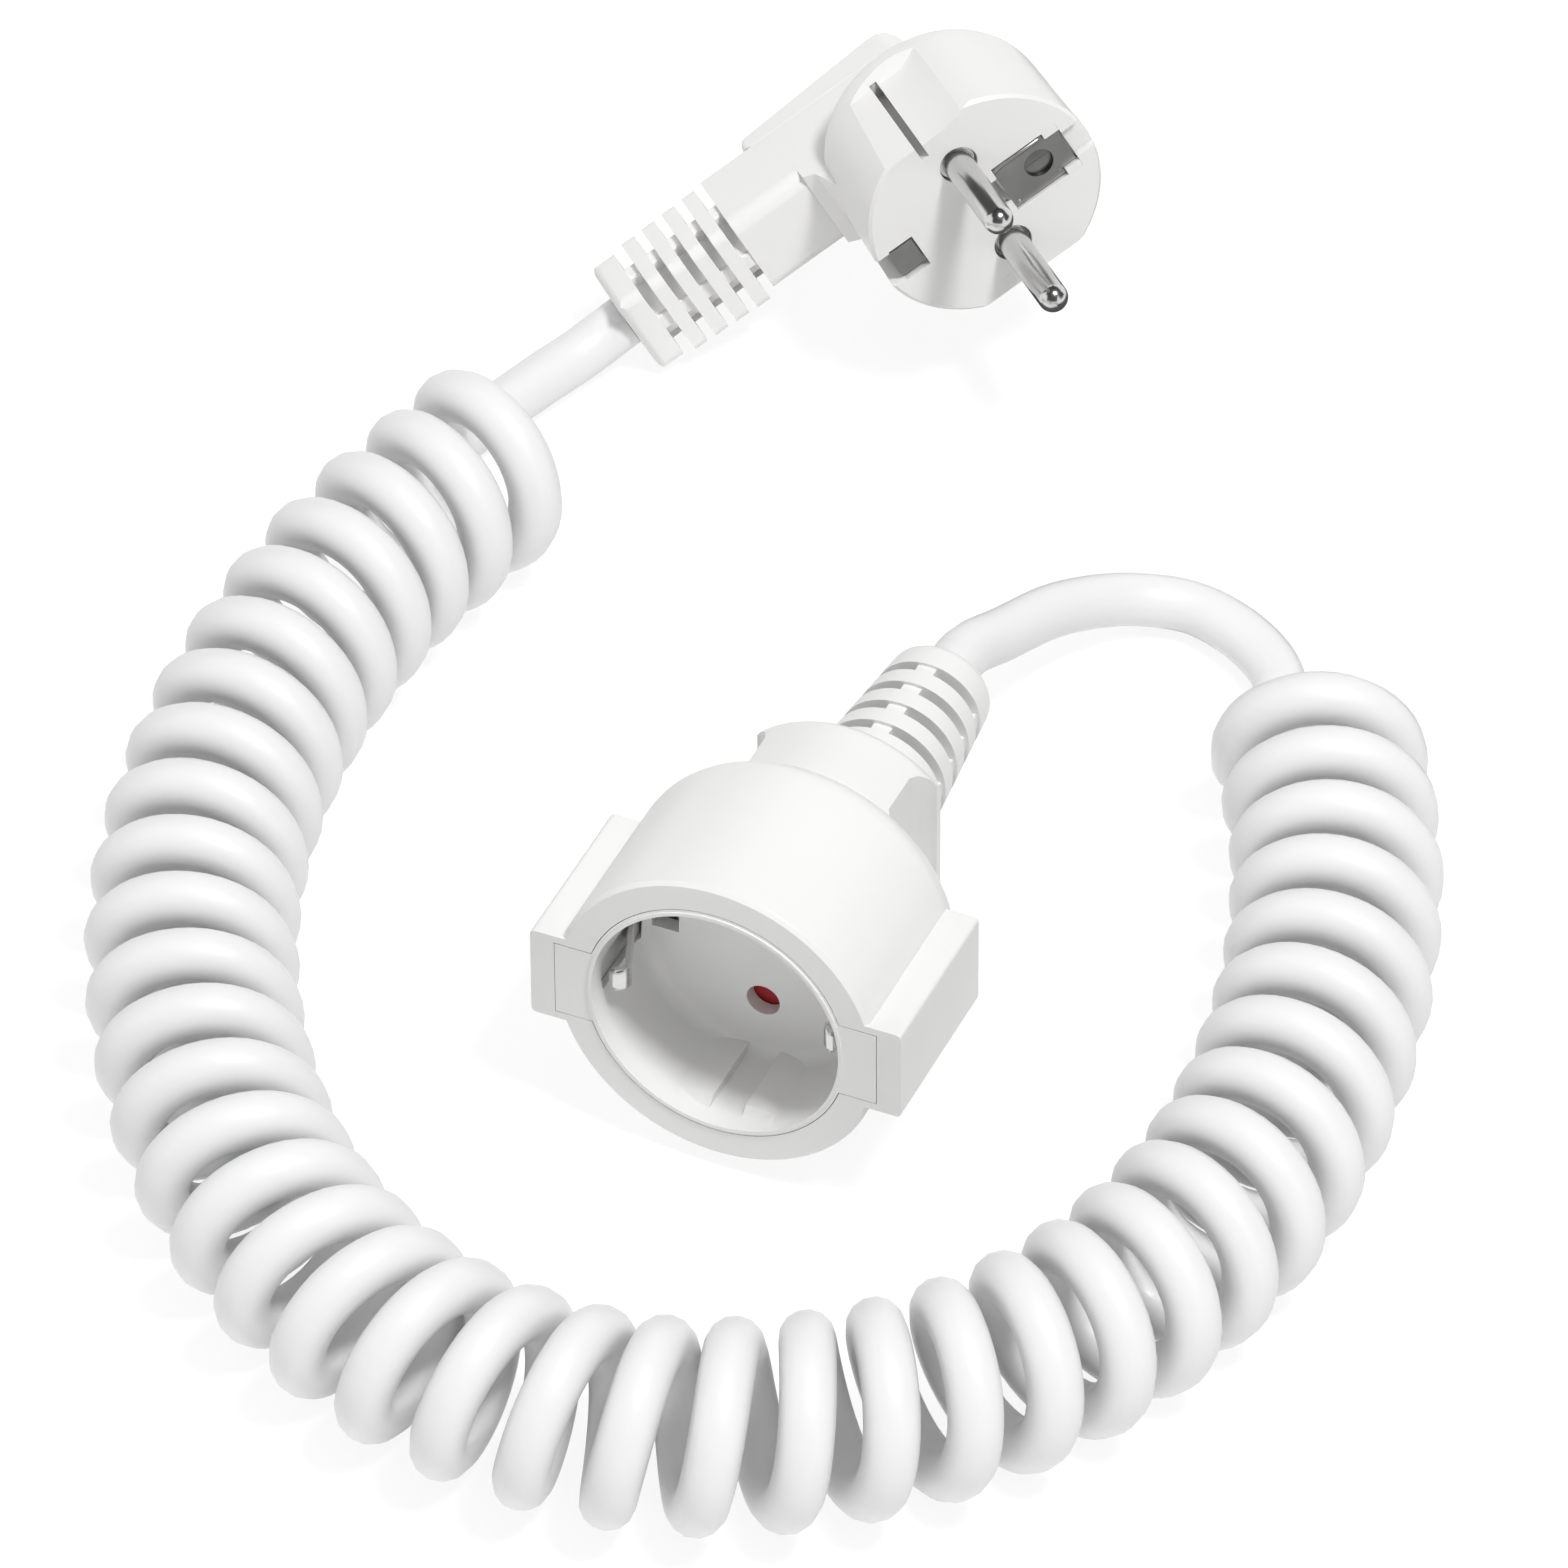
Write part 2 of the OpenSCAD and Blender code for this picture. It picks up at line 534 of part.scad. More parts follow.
module earth_bow() color(nickel) place_coupler() {
    t = bow_t / 2;
    arm = [[0, -strap_z - t], [arm_x - 1.3, -strap_z - t], [arm_x, 0.9 - strap_z], [arm_x, -clip_z - 10],
           [clip_x + 0.6, -clip_z - 1.4], [clip_x, -clip_z], [clip_x + 0.4, 1 - clip_z],
           [clip_x + 1.4, 1.6 - clip_z]];
    difference() {
        union() {
            for (side = [0, 180]) rotate(side) across_y(bow_w / 2) strip_outline(arm, t);
            translate([0, 0, -strap_z - bow_t]) cylinder(r = eye_r, h = bow_t);
        }
        translate([0, 0, -strap_z - bow_t - cut]) cylinder(d = post_d + 0.6, h = bow_t + 2 * cut);
    }
    bar(earth_tab_x - t, earth_tab_x + t, -bow_w / 2, bow_w / 2, -sleeve_end, -strap_z - t);
    translate([earth_tab_x, 0, -sleeve_end - crimp_len]) cylinder(r = crimp_r, h = crimp_len);
}
// Outline of a strip of half thickness t along a bent line.
module strip_outline(line, t) {
    n = len(line) - 1;
    sides = [for (i = [0:n]) let (d = unit(line[min(i + 1, n)] - line[max(i - 1, 0)])) [-d.y, d.x]];
    polygon(concat([for (i = [0:n]) line[i] + t * sides[i]],
                   [for (i = [n:-1:0]) line[i] - t * sides[i]]));
}

module coupler_boot() color(white) place_coupler() difference() {
    tip_round = 2;
    union() {
        translate([0, 0, -neck_end]) cylinder(r = spigot_r, h = neck_end - cavity_end);
        rotate_extrude() polygon(concat([[0, -neck_end], [boot_base_r, -neck_end]],
            arc(boot_tip_r - tip_round, tip_round - boot_end, tip_round, 0, -90, 4), [[0, -boot_end]]));
    }
    translate([0, 0, -boot_end - cut]) cylinder(r = boot_bore_r, h = boot_end);
    for (i = [0:boot_rows - 1]) {
        middle_z = neck_end + first_slot + i * boot_row_pitch;
        outside = boot_base_r - (boot_base_r - boot_tip_r) * (middle_z - neck_end) / boot_len;
        translate([0, 0, -middle_z - boot_slot / 2]) difference() {
            cylinder(r = boot_base_r + 1, h = boot_slot);
            translate([0, 0, -cut]) intersection() {
                web_cross(outside, boot_slot + 2 * cut);
                cylinder(r = outside - web_drop, h = boot_slot + 2 * cut);
            }
        }
    }
}

module coupler_jacket_end() color(white) place_coupler()
    translate([0, 0, -boot_end]) cylinder(d = cord_d, h = boot_end - coupler_jacket_start);

module core(points) tube(points, core_d / 2, 8);
// A core in the coupler, from the jacket to a crimp at x, y.
module coupler_core(x, y, start) core([for (p = [
    [start.x, start.y, -coupler_jacket_start], [start.x, start.y, 1 - coupler_jacket_start],
    [(x + start.x) / 2, (y + start.y) / 2, -(coupler_jacket_start + sleeve_end + crimp_len) / 2],
    [x, y, -sleeve_end - crimp_len - 1], [x, y, -sleeve_end - crimp_len]]) coupler_point(p)]);
module coupler_brown_core() color("#5a3218") coupler_core(0, pin_y, [-1, 2.3]);
module coupler_blue_core() color("#2458a8") coupler_core(0, -pin_y, [-1, -2.3]);
module coupler_earth_core() color("#4f9a3a") coupler_core(earth_tab_x, 0, [2.4, 0]);

// ---- Cord ----
module coupler_tail() color(white)
    tube(coupler_tail_points, cord_d / 2, tube_sides, unit(coupler_lead[0] - coupler_lead[1]));
module curly_cord() color(white) skin(cord_rings, curl_sides);
module plug_tail() color(white)
    tube(plug_tail_points, cord_d / 2, tube_sides, unit(plug_lead[1] - plug_lead[0]));

// ---- Plug ----
module plug_body() color(ivory) place_plug() difference() {
    union() {
        plug_disc();
        plug_neck();
    }
    for (side = [-1, 1]) bar(groove_x - groove_w / 2, groove_x + groove_w / 2,
        side > 0 ? plug_flat_y - groove_depth : -plug_flat_y - cut,
        side > 0 ? plug_flat_y + cut : groove_depth - plug_flat_y, -groove_len, cut);
    for (y = [-pin_y, pin_y]) translate([0, y, 0]) {
        translate([0, 0, -bridge_top - cut]) cylinder(r = pin_d / 2 + 0.05, h = bridge_top + 2 * cut);
        translate([0, 0, -collar_z - collar_t - 0.05]) cylinder(r = collar_r + 0.1, h = 2 + cut);
    }
    bar(-bridge_x - fit, bridge_x + fit, -bridge_y - fit, bridge_y + fit,
        -chamber_bottom, fit - bridge_top);
    bar(-plug_neck_x - cut, bridge_x + fit, -channel_y, channel_y, -neck_back - cut, -channel_top);
    bar(-bridge_x - fit, bridge_x + fit, -channel_y, channel_y, -neck_back - cut, cut - chamber_bottom);
    plug_earth_pocket();
}
// The round body, whose two flats run out in a short ramp towards its back.
module plug_disc() {
    rim = plug_r - (plug_depth - plug_round) * tan(plug_taper);
    difference() {
        rotate_extrude() polygon(concat([[0, 0], [plug_r - 0.5, 0], [plug_r, -0.5]],
            arc(rim - plug_round, plug_round - plug_depth, plug_round, 0, -90, 6), [[0, -plug_depth]]));
        flat_cut([[-plug_r, plug_flat_y], [1.4, plug_flat_y], [5, plug_step_y], [plug_r, plug_step_y]]);
        rotate(180) flat_cut([[-plug_r, plug_flat_y], [plug_r, plug_flat_y]]);
    }
}
module flat_cut(edge) intersection() {
    translate([-plug_r, 0, 0]) rotate([90, 0, 90]) linear_extrude(2 * plug_r)
        polygon([[plug_flat_y, cut], [plug_flat_y, 2.4 - crease_z], [plug_r + cut, -crease_z], [plug_r + cut, cut]]);
    translate([0, 0, -crease_z - cut]) linear_extrude(crease_z + 2 * cut)
        polygon(concat(edge, [[plug_r, plug_r + cut], [-plug_r, plug_r + cut]]));
}
module plug_neck() {
    far = lid_start + lid_len;                          // where the neck ends behind the disc
    side_view = concat([[far, -12]], arc(far - 4, 4 - neck_back, 4, 0, -90, 4),
        [[-plug_neck_x, -neck_back], [-plug_neck_x, -neck_front], [-21.5, -neck_front],
         [-19, -neck_front + 1.5], [-16, -12]]);
    intersection() {
        across_y(plug_neck_y) polygon(side_view);
        union() {
            translate([-plug_neck_x, 0, -neck_front - 15]) rotate([90, 0, 90])
                linear_extrude(plug_neck_x - 20) polygon(round_rect(plug_neck_y, 15, 2.5));
            bar(-21, far, -plug_neck_y, plug_neck_y, -neck_back, 0);
        }
    }
}
// The sunk field round the earth plate, the slots for its strap and the notches for its side contacts.
module plug_earth_pocket() {
    bar(1.6, 15.9, -4.9, 4.9, -plate_pocket, cut);
    bar(15.9, plug_r + cut, -2.8, 2.8, -1.2, cut);
    bar(-notch_x - cut, -12.4, -3.3, 3.3, -plate_pocket, cut);
    bar(-leaf_x - fit, leaf_x + fit, -strip_w / 2 - fit, strip_w / 2 + fit,
        -strap_top - strip_t - fit, fit - strap_top);
    bar(notch_x, plug_r + cut, -notch_y, notch_y, -notch_depth, fit - strap_top);
    bar(-plug_r - cut, -notch_x, -notch_y, notch_y, -notch_depth, cut);
    translate([earth_x, 0, -plate_z - earth_sleeve_len - fit])
        cylinder(r = earth_sleeve_r + fit, h = earth_sleeve_len);
    bar(plug_tab_x - strip_t / 2 - fit, plug_tab_x + strip_t / 2 + fit, -2.1, 2.1,
        -bridge_top - cut, -strap_top);
}

module plug_lid() color(ivory) place_plug() {
    end = lid_start + lid_len;
    half = plug_neck_y;
    side_view = concat([[lid_start + 1.6, -neck_back], [lid_start, -neck_back - 0.9],
        [lid_start, 0.8 - neck_back - lid_t],
        [lid_start + 0.8, -neck_back - lid_t]],
        arc(end - 3, 3 - neck_back - lid_end_t, 3, 270, 360, 4), [[end, -neck_back]]);
    plan = concat(arc(end - 5, half - 5, 5, 0, 90, 5), arc(lid_start + 1.2, half - 1.2, 1.2, 90, 180, 3),
        arc(lid_start + 1.2, 1.2 - half, 1.2, 180, 270, 3), arc(end - 5, 5 - half, 5, 270, 360, 5));
    intersection() {
        across_y(plug_neck_y) polygon(side_view);
        translate([0, 0, -neck_back - 10]) linear_extrude(10) polygon(plan);
    }
    bar(lid_start + 2, 1.4, fit - channel_y, channel_y - fit, -neck_back, 1.5 - neck_back);
}

module pin_bridge() color("#d8d6ce") place_plug() difference() {
    bar(-bridge_x, bridge_x, -bridge_y, bridge_y, -bridge_bottom, -bridge_top);
    for (y = [-pin_y, pin_y]) translate([0, y, -bridge_bottom - cut])
        cylinder(r = pin_d / 2 + 0.05, h = bridge_t + 2 * cut);
    bar(plug_tab_x - strip_t / 2 - fit, bridge_x + cut, -2.1, 2.1, -bridge_bottom - cut, cut - bridge_top);
}

module plug_pin() color(nickel) {
    translate([0, 0, -bridge_bottom]) cylinder(d = pin_d, h = bridge_bottom + pin_len - pin_d / 2);
    translate([0, 0, pin_len - pin_d / 2]) sphere(d = pin_d);
    translate([0, 0, -collar_z - collar_t]) cylinder(r = collar_r, h = collar_t);
    translate([0, 0, -bridge_bottom - plug_crimp_len]) cylinder(r = crimp_r, h = plug_crimp_len + cut);
}
module live_pin() place_plug() translate([0, pin_y, 0]) plug_pin();
module neutral_pin() place_plug() translate([0, -pin_y, 0]) plug_pin();

module plug_earth_strip() color(dark_metal) place_plug() {
    difference() {
        union() {
            bar(3.3, 13, -4.6, 4.6, -plate_z - strip_t, -plate_z);
            bar(1.9, 3.3 + cut, -3.9, 3.9, -plate_z - strip_t, -plate_z - 0.4);
            bar(13 - cut, 15.6, -3.5, 3.5, -plate_z - strip_t, -plate_z);
            translate([earth_x, 0, -plate_z - earth_sleeve_len])
                cylinder(r = earth_sleeve_r, h = earth_sleeve_len);
            bar(-leaf_x, leaf_x, -strip_w / 2, strip_w / 2, -strap_top - strip_t, -strap_top);
        }
        translate([earth_x, 0, -20]) cylinder(d = earth_bore_d, h = 30);
    }
    for (side = [0, 180]) rotate(side)
        bar(leaf_x - strip_t, leaf_x, -strip_w / 2, strip_w / 2, 0.5 - notch_depth, -strap_top);
    bar(-leaf_x, -12.7, -strip_w / 2, strip_w / 2, -plate_z - strip_t, -plate_z);
    bar(-leaf_x, strip_t - leaf_x, -strip_w / 2, strip_w / 2, -strap_top - strip_t, -plate_z);
    bar(plug_tab_x - strip_t / 2, plug_tab_x + strip_t / 2, -2, 2, -bridge_bottom, -strap_top);
    translate([plug_tab_x - crimp_r + strip_t / 2, 0, -bridge_bottom - plug_crimp_len])
        cylinder(r = crimp_r, h = plug_crimp_len);
}

module plug_boot() color(ivory) place_plug() translate([-plug_boot_end, 0, -cord_drop])
    rotate([0, 90, 0]) difference() {
        union() {
            boot_cap();
            for (i = [1:plug_ribs]) rib(plug_boot_len - 1.5 - plug_rib_t - (i - 1) * plug_rib_pitch, plug_rib_t);
            web_bars();
        }
        translate([0, 0, -cut]) cylinder(r = boot_bore_r, h = plug_boot_len + 2 * cut);
    }
// One rib of the plug's boot, from z over a length; it gets slimmer towards the cord.
module rib(z, length, less = 0) {
    slim = plug_boot_slim / 2 * (1 - z / plug_boot_len) + less;
    translate([0, 0, z]) linear_extrude(length)
        polygon(round_rect(plug_boot_h / 2 - slim, plug_boot_w / 2 - slim, 1.8));
}
// Solid end of the plug's boot, rounded towards the cord.
module boot_cap() {
    slim = plug_boot_slim / 2 + 0.3;
    intersection() {
        rib(0, plug_cap_len, 0.3);
        across_y(plug_boot_w) polygon(rounded_end(plug_boot_h / 2 - slim));
        rotate(90) across_y(plug_boot_h) polygon(rounded_end(plug_boot_w / 2 - slim));
    }
}
function rounded_end(half) = let (r = 1.8) concat(arc(r - half, r, r, 180, 270, 4), arc(half - r, r, r, 270, 360, 4),
    [[half + 1, r + 1], [half + 1, plug_cap_len + cut], [-half - 1, plug_cap_len + cut], [-half - 1, r + 1]]);
module web_bars() {
    drop = plug_boot_slim / 2 + 0.8;
    translate([0, 0, 1]) linear_extrude(plug_boot_len - 1) union() {
        polygon(round_rect(plug_boot_h / 2 - drop, web_w / 2, 0.4));
        polygon(round_rect(web_w / 2, plug_boot_w / 2 - drop, 0.4));
    }
}

module plug_jacket_end() color(white) place_plug() translate([-plug_boot_end, 0, -cord_drop])
    rotate([0, 90, 0]) cylinder(d = cord_d, h = plug_boot_end - plug_jacket_start);

// A core in the plug, from the jacket to a crimp at x, y.
module plug_core(x, y, start) core([for (p = [
    [-plug_jacket_start, start.x, start.y - cord_drop], [1 - plug_jacket_start, start.x, start.y - cord_drop],
    [-8, start.x * 1.3, start.y * 0.6 - cord_drop], [-2.8, start.x * 1.5, -chamber_bottom - 2.6],
    [x - 0.9, y * 0.36, 0.6 - chamber_bottom], [x, y * 0.66, 4.4 - chamber_bottom], [x, y, 8.4 - chamber_bottom],
    [x, y, -bridge_bottom - plug_crimp_len - 1], [x, y, -bridge_bottom - plug_crimp_len]]) plug_point(p)]);
module plug_brown_core() color("#5a3218") plug_core(0, pin_y, [1.8, 1.6]);
module plug_blue_core() color("#2458a8") plug_core(0, -pin_y, [-1.8, 1.6]);
module plug_earth_core() color("#4f9a3a")
    plug_core(plug_tab_x - crimp_r + strip_t / 2, 0, [0, -1.8]);

coupler_shell();
socket_cup();
contact_carrier();
shutter();
shutter_spring();
live_sleeve();
neutral_sleeve();
earth_bow();
coupler_boot();
coupler_jacket_end();
coupler_brown_core();
coupler_blue_core();
coupler_earth_core();
coupler_tail();
curly_cord();
plug_tail();
plug_body();
plug_lid();
pin_bridge();
live_pin();
neutral_pin();
plug_earth_strip();
plug_boot();
plug_jacket_end();
plug_brown_core();
plug_blue_core();
plug_earth_core();
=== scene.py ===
import math

import bmesh
import bpy
from mathutils import Euler, Matrix, Vector


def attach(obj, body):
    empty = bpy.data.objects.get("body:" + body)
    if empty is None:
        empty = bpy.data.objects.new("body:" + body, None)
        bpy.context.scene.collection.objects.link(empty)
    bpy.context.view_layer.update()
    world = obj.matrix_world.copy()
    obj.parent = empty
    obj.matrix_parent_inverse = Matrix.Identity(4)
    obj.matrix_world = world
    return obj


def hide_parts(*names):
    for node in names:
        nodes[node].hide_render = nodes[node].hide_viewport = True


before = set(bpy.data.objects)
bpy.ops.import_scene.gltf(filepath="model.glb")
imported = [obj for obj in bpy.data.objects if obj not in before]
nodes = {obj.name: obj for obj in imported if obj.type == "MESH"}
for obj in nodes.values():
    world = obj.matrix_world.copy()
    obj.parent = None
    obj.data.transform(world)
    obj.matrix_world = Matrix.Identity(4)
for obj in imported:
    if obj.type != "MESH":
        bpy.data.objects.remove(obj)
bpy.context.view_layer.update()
scene = bpy.context.scene
mm = 0.001


def aimAt(thing, place, aim, front):
    thing.location = place
    thing.rotation_mode = "QUATERNION"
    thing.rotation_quaternion = (Vector(aim) - Vector(place)).to_track_quat(front, "Y")


cameraSetup = {
    # place and aim in mm in the part's own frame, sensor in mm, clip range in m
    "place": (583.96, -1328.01, 1542.3),
    "aim": (-21.83, 32.61, 0.0),
    "lens": 321.43,
    "sensor": 36.0,
    "clip": (0.05, 60.0),
}


def makeCamera(s):
    data = bpy.data.cameras.new("studioCamera")
    data.lens = s["lens"]
    data.sensor_width = s["sensor"]
    data.clip_start, data.clip_end = s["clip"]
    data.dof.use_dof = False
    camera = bpy.data.objects.new("studioCamera", data)
    scene.collection.objects.link(camera)
    aimAt(camera, Vector(s["place"]) * mm, Vector(s["aim"]) * mm, "-Z")
    scene.camera = camera


makeCamera(cameraSetup)
print("camera set")

# where coupler and plug lie: their faces' middles in mm and their turns in degrees
couplerLie = {"tilt": 5.0, "roll": 2.5, "face": (0.0, -41.571, 28.389)}
plugLie = {"turn": (79.0, -25.0, 50.0), "face": (-29.9, 128.1, 36.4)}

couplerMatrix = (
    Matrix.Translation(Vector(couplerLie["face"]))
    @ Matrix.Rotation(math.radians(90 - couplerLie["tilt"]), 4, "X")
    @ Matrix.Rotation(math.radians(couplerLie["roll"]), 4, "Z")
)
plugMatrix = Matrix.Translation(Vector(plugLie["face"])) @ Euler(
    [math.radians(a) for a in plugLie["turn"]], "XYZ"
).to_matrix().to_4x4()

cordSetup = {
    # mm; the exits are in the axes of plug and coupler, the rest in the part's own frame
    "diameter": 8.4,
    "curlRadius": 12.0,
    "curls": 38.5,
    "curlsPerPoint": 3,
    "stepsPerCurl": 40,
    "coilHeight": 16.41,
    "tableHeight": 4.4,
    "bendPull": 1.66,
    "coilRoute": [
        (-84.5, 65), (-93, 31.5), (-94.3, -3), (-87.5, -37), (-72, -67.7), (-48.7, -93), (-18, -108.2),
        (16.4, -108.6), (47, -92.8), (68.8, -66.3), (79, -33.5), (78, 1), (68.5, 34.3), (52, 64.5),
    ],
    "plugExit": [(-56.6, 0, -28.6), (-58.1, 0, -28.6)],
    "couplerExit": [(0, 0, -85), (0, 0, -93.4)],
    "plugLead": [(-93, 88.3), (-95.6, 81)],
    "couplerLead": [(42.5, 66), (42, 74.4)],
    "couplerTail": [
        (2.3, 61, 16.4), (5.3, 72.3, 12), (9.3, 80.6, 8.2), (14.4, 86.2, 5.6), (21.7, 89, 4.4),
        (29.2, 87.6, 4.4), (36, 84.2, 4.4), (40.6, 79.7, 4.4),
    ],
    "plugTail": [(-86, 104.4, 5.3), (-88.1, 100.5, 4.4), (-90.5, 94.8, 4.4)],
    "tailSteps": 5,
    "bendSteps": 10,
    "middleNudge": 0.05,
    "curlNudge": 0.01,
    "roundness": 5,
}


def curvePoint(points, t):
    # smooth curve through a list of points, t from 0 to the last index
    last = len(points) - 1
    i = max(0, min(last - 1, math.floor(t)))
    u = t - i
    b, c = points[i], points[i + 1]
    a = 2 * b - c if i == 0 else points[i - 1]
    d = 2 * c - b if i == last - 1 else points[i + 2]
    return (2 * b + (c - a) * u + (2 * a - 5 * b + 4 * c - d) * u**2 + (3 * b - a - 3 * c + d) * u**3) / 2


def bendPoint(a, leave, b, arrive, u):
    # smooth bend from a to b that leaves and arrives in given directions
    return (
        a * (2 * u**3 - 3 * u**2 + 1) + leave * (u**3 - 2 * u**2 + u)
        + b * (3 * u**2 - 2 * u**3) + arrive * (u**3 - u**2)
    )


def smoothRun(points, steps):
    return [curvePoint(points, i / steps) for i in range((len(points) - 1) * steps + 1)]


def cordRoute(s):
    route = [Vector((x, y, 0)) for x, y in s["coilRoute"]]
    radius = s["curlRadius"]

    def middle(t):
        return curvePoint(route, t / s["curlsPerPoint"])

    def curl(t):
        ahead = (middle(t + s["middleNudge"]) - middle(t - s["middleNudge"])).normalized()
        outward = Vector((ahead.y, -ahead.x, 0))
        turn = 2 * math.pi * t
        return middle(t) + Vector((0, 0, s["coilHeight"])) + radius * (
            math.cos(turn) * outward + math.sin(turn) * Vector((0, 0, 1))
        )

    def curlAhead(t):
        return (curl(t + s["curlNudge"]) - curl(t - s["curlNudge"])).normalized()

    def bend(a, leave, b, arrive):
        pull, steps = s["bendPull"] * radius, s["bendSteps"]
        return [bendPoint(a, pull * leave, b, pull * arrive, i / steps) for i in range(1, steps)]

    plugLead = [Vector((x, y, s["tableHeight"])) for x, y in s["plugLead"]]
    couplerLead = [Vector((x, y, s["tableHeight"])) for x, y in s["couplerLead"]]
    plugEnd = [plugMatrix @ Vector(p) for p in s["plugExit"]]
    plugEnd += [Vector(p) for p in s["plugTail"]] + plugLead
    couplerEnd = [couplerMatrix @ Vector(p) for p in s["couplerExit"]]
    couplerEnd += [Vector(p) for p in s["couplerTail"]] + couplerLead[::-1]
    plugAhead = (plugLead[1] - plugLead[0]).normalized()
    couplerAhead = (couplerLead[1] - couplerLead[0]).normalized()
    count = round(s["curls"] * s["stepsPerCurl"])
    path = smoothRun(plugEnd, s["tailSteps"])
    path += bend(plugLead[1], plugAhead, curl(0), curlAhead(0))
    path += [curl(i / s["stepsPerCurl"]) for i in range(count + 1)]
    path += bend(curl(s["curls"]), curlAhead(s["curls"]), couplerLead[0], couplerAhead)
    path += smoothRun(couplerEnd, s["tailSteps"])[::-1]
    return [p * mm for p in reversed(path)]


def pathLength(path):
    return sum((b - a).length for a, b in zip(path, path[1:]))


def makeCord(s):
    path = cordRoute(s)
    curve = bpy.data.curves.new("coiledLead", "CURVE")
    curve.dimensions = "3D"
    curve.bevel_depth = s["diameter"] / 2 * mm
    curve.bevel_resolution = s["roundness"]
    curve.use_fill_caps = True
    spline = curve.splines.new("POLY")
    spline.points.add(len(path) - 1)
    for point, place in zip(spline.points, path):
        point.co = (*place, 1)
    spline.use_smooth = True
    lead = bpy.data.objects.new("coiledLead", curve)
    scene.collection.objects.link(lead)
    return lead, path


coiledLead, leadPath = makeCord(cordSetup)
print("cord made,", round(pathLength(leadPath), 3), "m")


def newGroup(name, inputs):
    # node group for a skin: what goes in is listed, and colour, roughness and height come out
    group = bpy.data.node_groups.new(name, "ShaderNodeTree")
    for label, kind, value in inputs:
        socket = group.interface.new_socket(label, in_out="INPUT", socket_type=kind)
        socket.default_value = value
    group.interface.new_socket("Colour", in_out="OUTPUT", socket_type="NodeSocketColor")
    group.interface.new_socket("Roughness", in_out="OUTPUT", socket_type="NodeSocketFloat")
    group.interface.new_socket("Height", in_out="OUTPUT", socket_type="NodeSocketFloat")
    return group, group.nodes.new("NodeGroupInput").outputs, group.nodes.new("NodeGroupOutput").inputs


def addNode(tree, kind, values=None, **settings):
    node = tree.nodes.new(kind)
    for key, value in settings.items():
        setattr(node, key, value)
    for socket, value in (values or {}).items():
        if isinstance(value, bpy.types.NodeSocket):
            tree.links.new(value, node.inputs[socket])
        else:
            node.inputs[socket].default_value = value
    return node


def maths(tree, operation, *values):
    return addNode(tree, "ShaderNodeMath", dict(enumerate(values)), operation=operation).outputs[0]


def noise(tree, where, values):
    return addNode(tree, "ShaderNodeTexNoise", {"Vector": where, **values}).outputs["Fac"]


def mapped(tree, value, given, wanted, **settings):
    # value carried over from one range to another
    return addNode(tree, "ShaderNodeMapRange", {
        "Value": value, "From Min": given[0], "From Max": given[1], "To Min": wanted[0], "To Max": wanted[1],
    }, **settings).outputs["Result"]


def dimmed(tree, colour, factor):
    return addNode(tree, "ShaderNodeVectorMath", {0: colour, "Scale": factor},
                   operation="SCALE").outputs["Vector"]


plasticSkin = {
    # noise of grain, flow marks and colour drift, and the ranges of drift and of the painted shade in
    # crevices
    "grain": {"Detail": 3.0, "Roughness": 0.6},
    "flow": {"Scale": 55.0, "Detail": 2.0, "Distortion": 0.8},
    "flowMiddle": 0.5,
    "cloud": {"Scale": 22.0, "Detail": 1.0},
    "cloudRange": (0.3, 0.7),
    "openRange": (0.05, 0.75),
    "openSamples": 6,
}


def moulded(s):
    # spark-eroded skin of moulded plastic: fine grain, slow flow marks, a trace of colour drift, and painted
    # shade in slots and corners
    tree, given, out = newGroup(
        "mouldedSkin",
        [("Colour", "NodeSocketColor", (0.8, 0.8, 0.8, 1)), ("Drift", "NodeSocketFloat", 0.03),
         ("Grain Scale", "NodeSocketFloat", 2600.0), ("Roughness", "NodeSocketFloat", 0.4),
         ("Roughness Spread", "NodeSocketFloat", 0.08), ("Flow", "NodeSocketFloat", 0.25),
         ("Painted Shade", "NodeSocketFloat", 0.35), ("Crevice Reach", "NodeSocketFloat", 0.004)],
    )
    where = addNode(tree, "ShaderNodeTexCoord").outputs["Object"]
    grain = noise(tree, where, {"Scale": given["Grain Scale"], **s["grain"]})
    flow = noise(tree, where, s["flow"])
    cloud = noise(tree, where, s["cloud"])
    even = maths(tree, "SUBTRACT", 1.0, mapped(tree, cloud, s["cloudRange"], (0.0, given["Drift"])))
    # painted shade: the colour is darkened where ambient occlusion finds slots and corners
    openness = addNode(tree, "ShaderNodeAmbientOcclusion", {"Distance": given["Crevice Reach"]},
                       samples=s["openSamples"])
    closed = mapped(tree, openness.outputs["AO"], s["openRange"], (given["Painted Shade"], 0.0),
                    interpolation_type="SMOOTHSTEP")
    dim = maths(tree, "MULTIPLY", even, maths(tree, "SUBTRACT", 1.0, closed))
    spread = maths(tree, "ADD", flow, -s["flowMiddle"])
    rough = maths(tree, "MULTIPLY_ADD", spread, given["Roughness Spread"], given["Roughness"])
    tree.links.new(dimmed(tree, given["Colour"], dim), out["Colour"])
    tree.links.new(rough, out["Roughness"])
    tree.links.new(maths(tree, "MULTIPLY_ADD", flow, given["Flow"], grain), out["Height"])
    return tree


metalSkin = {
    # noise of the drawn lines and the stains, and the range of the stains
    "lines": {"Detail": 4.0},
    "cloud": {"Scale": 160.0, "Detail": 3.0},
    "cloudRange": (0.4, 0.75),
}


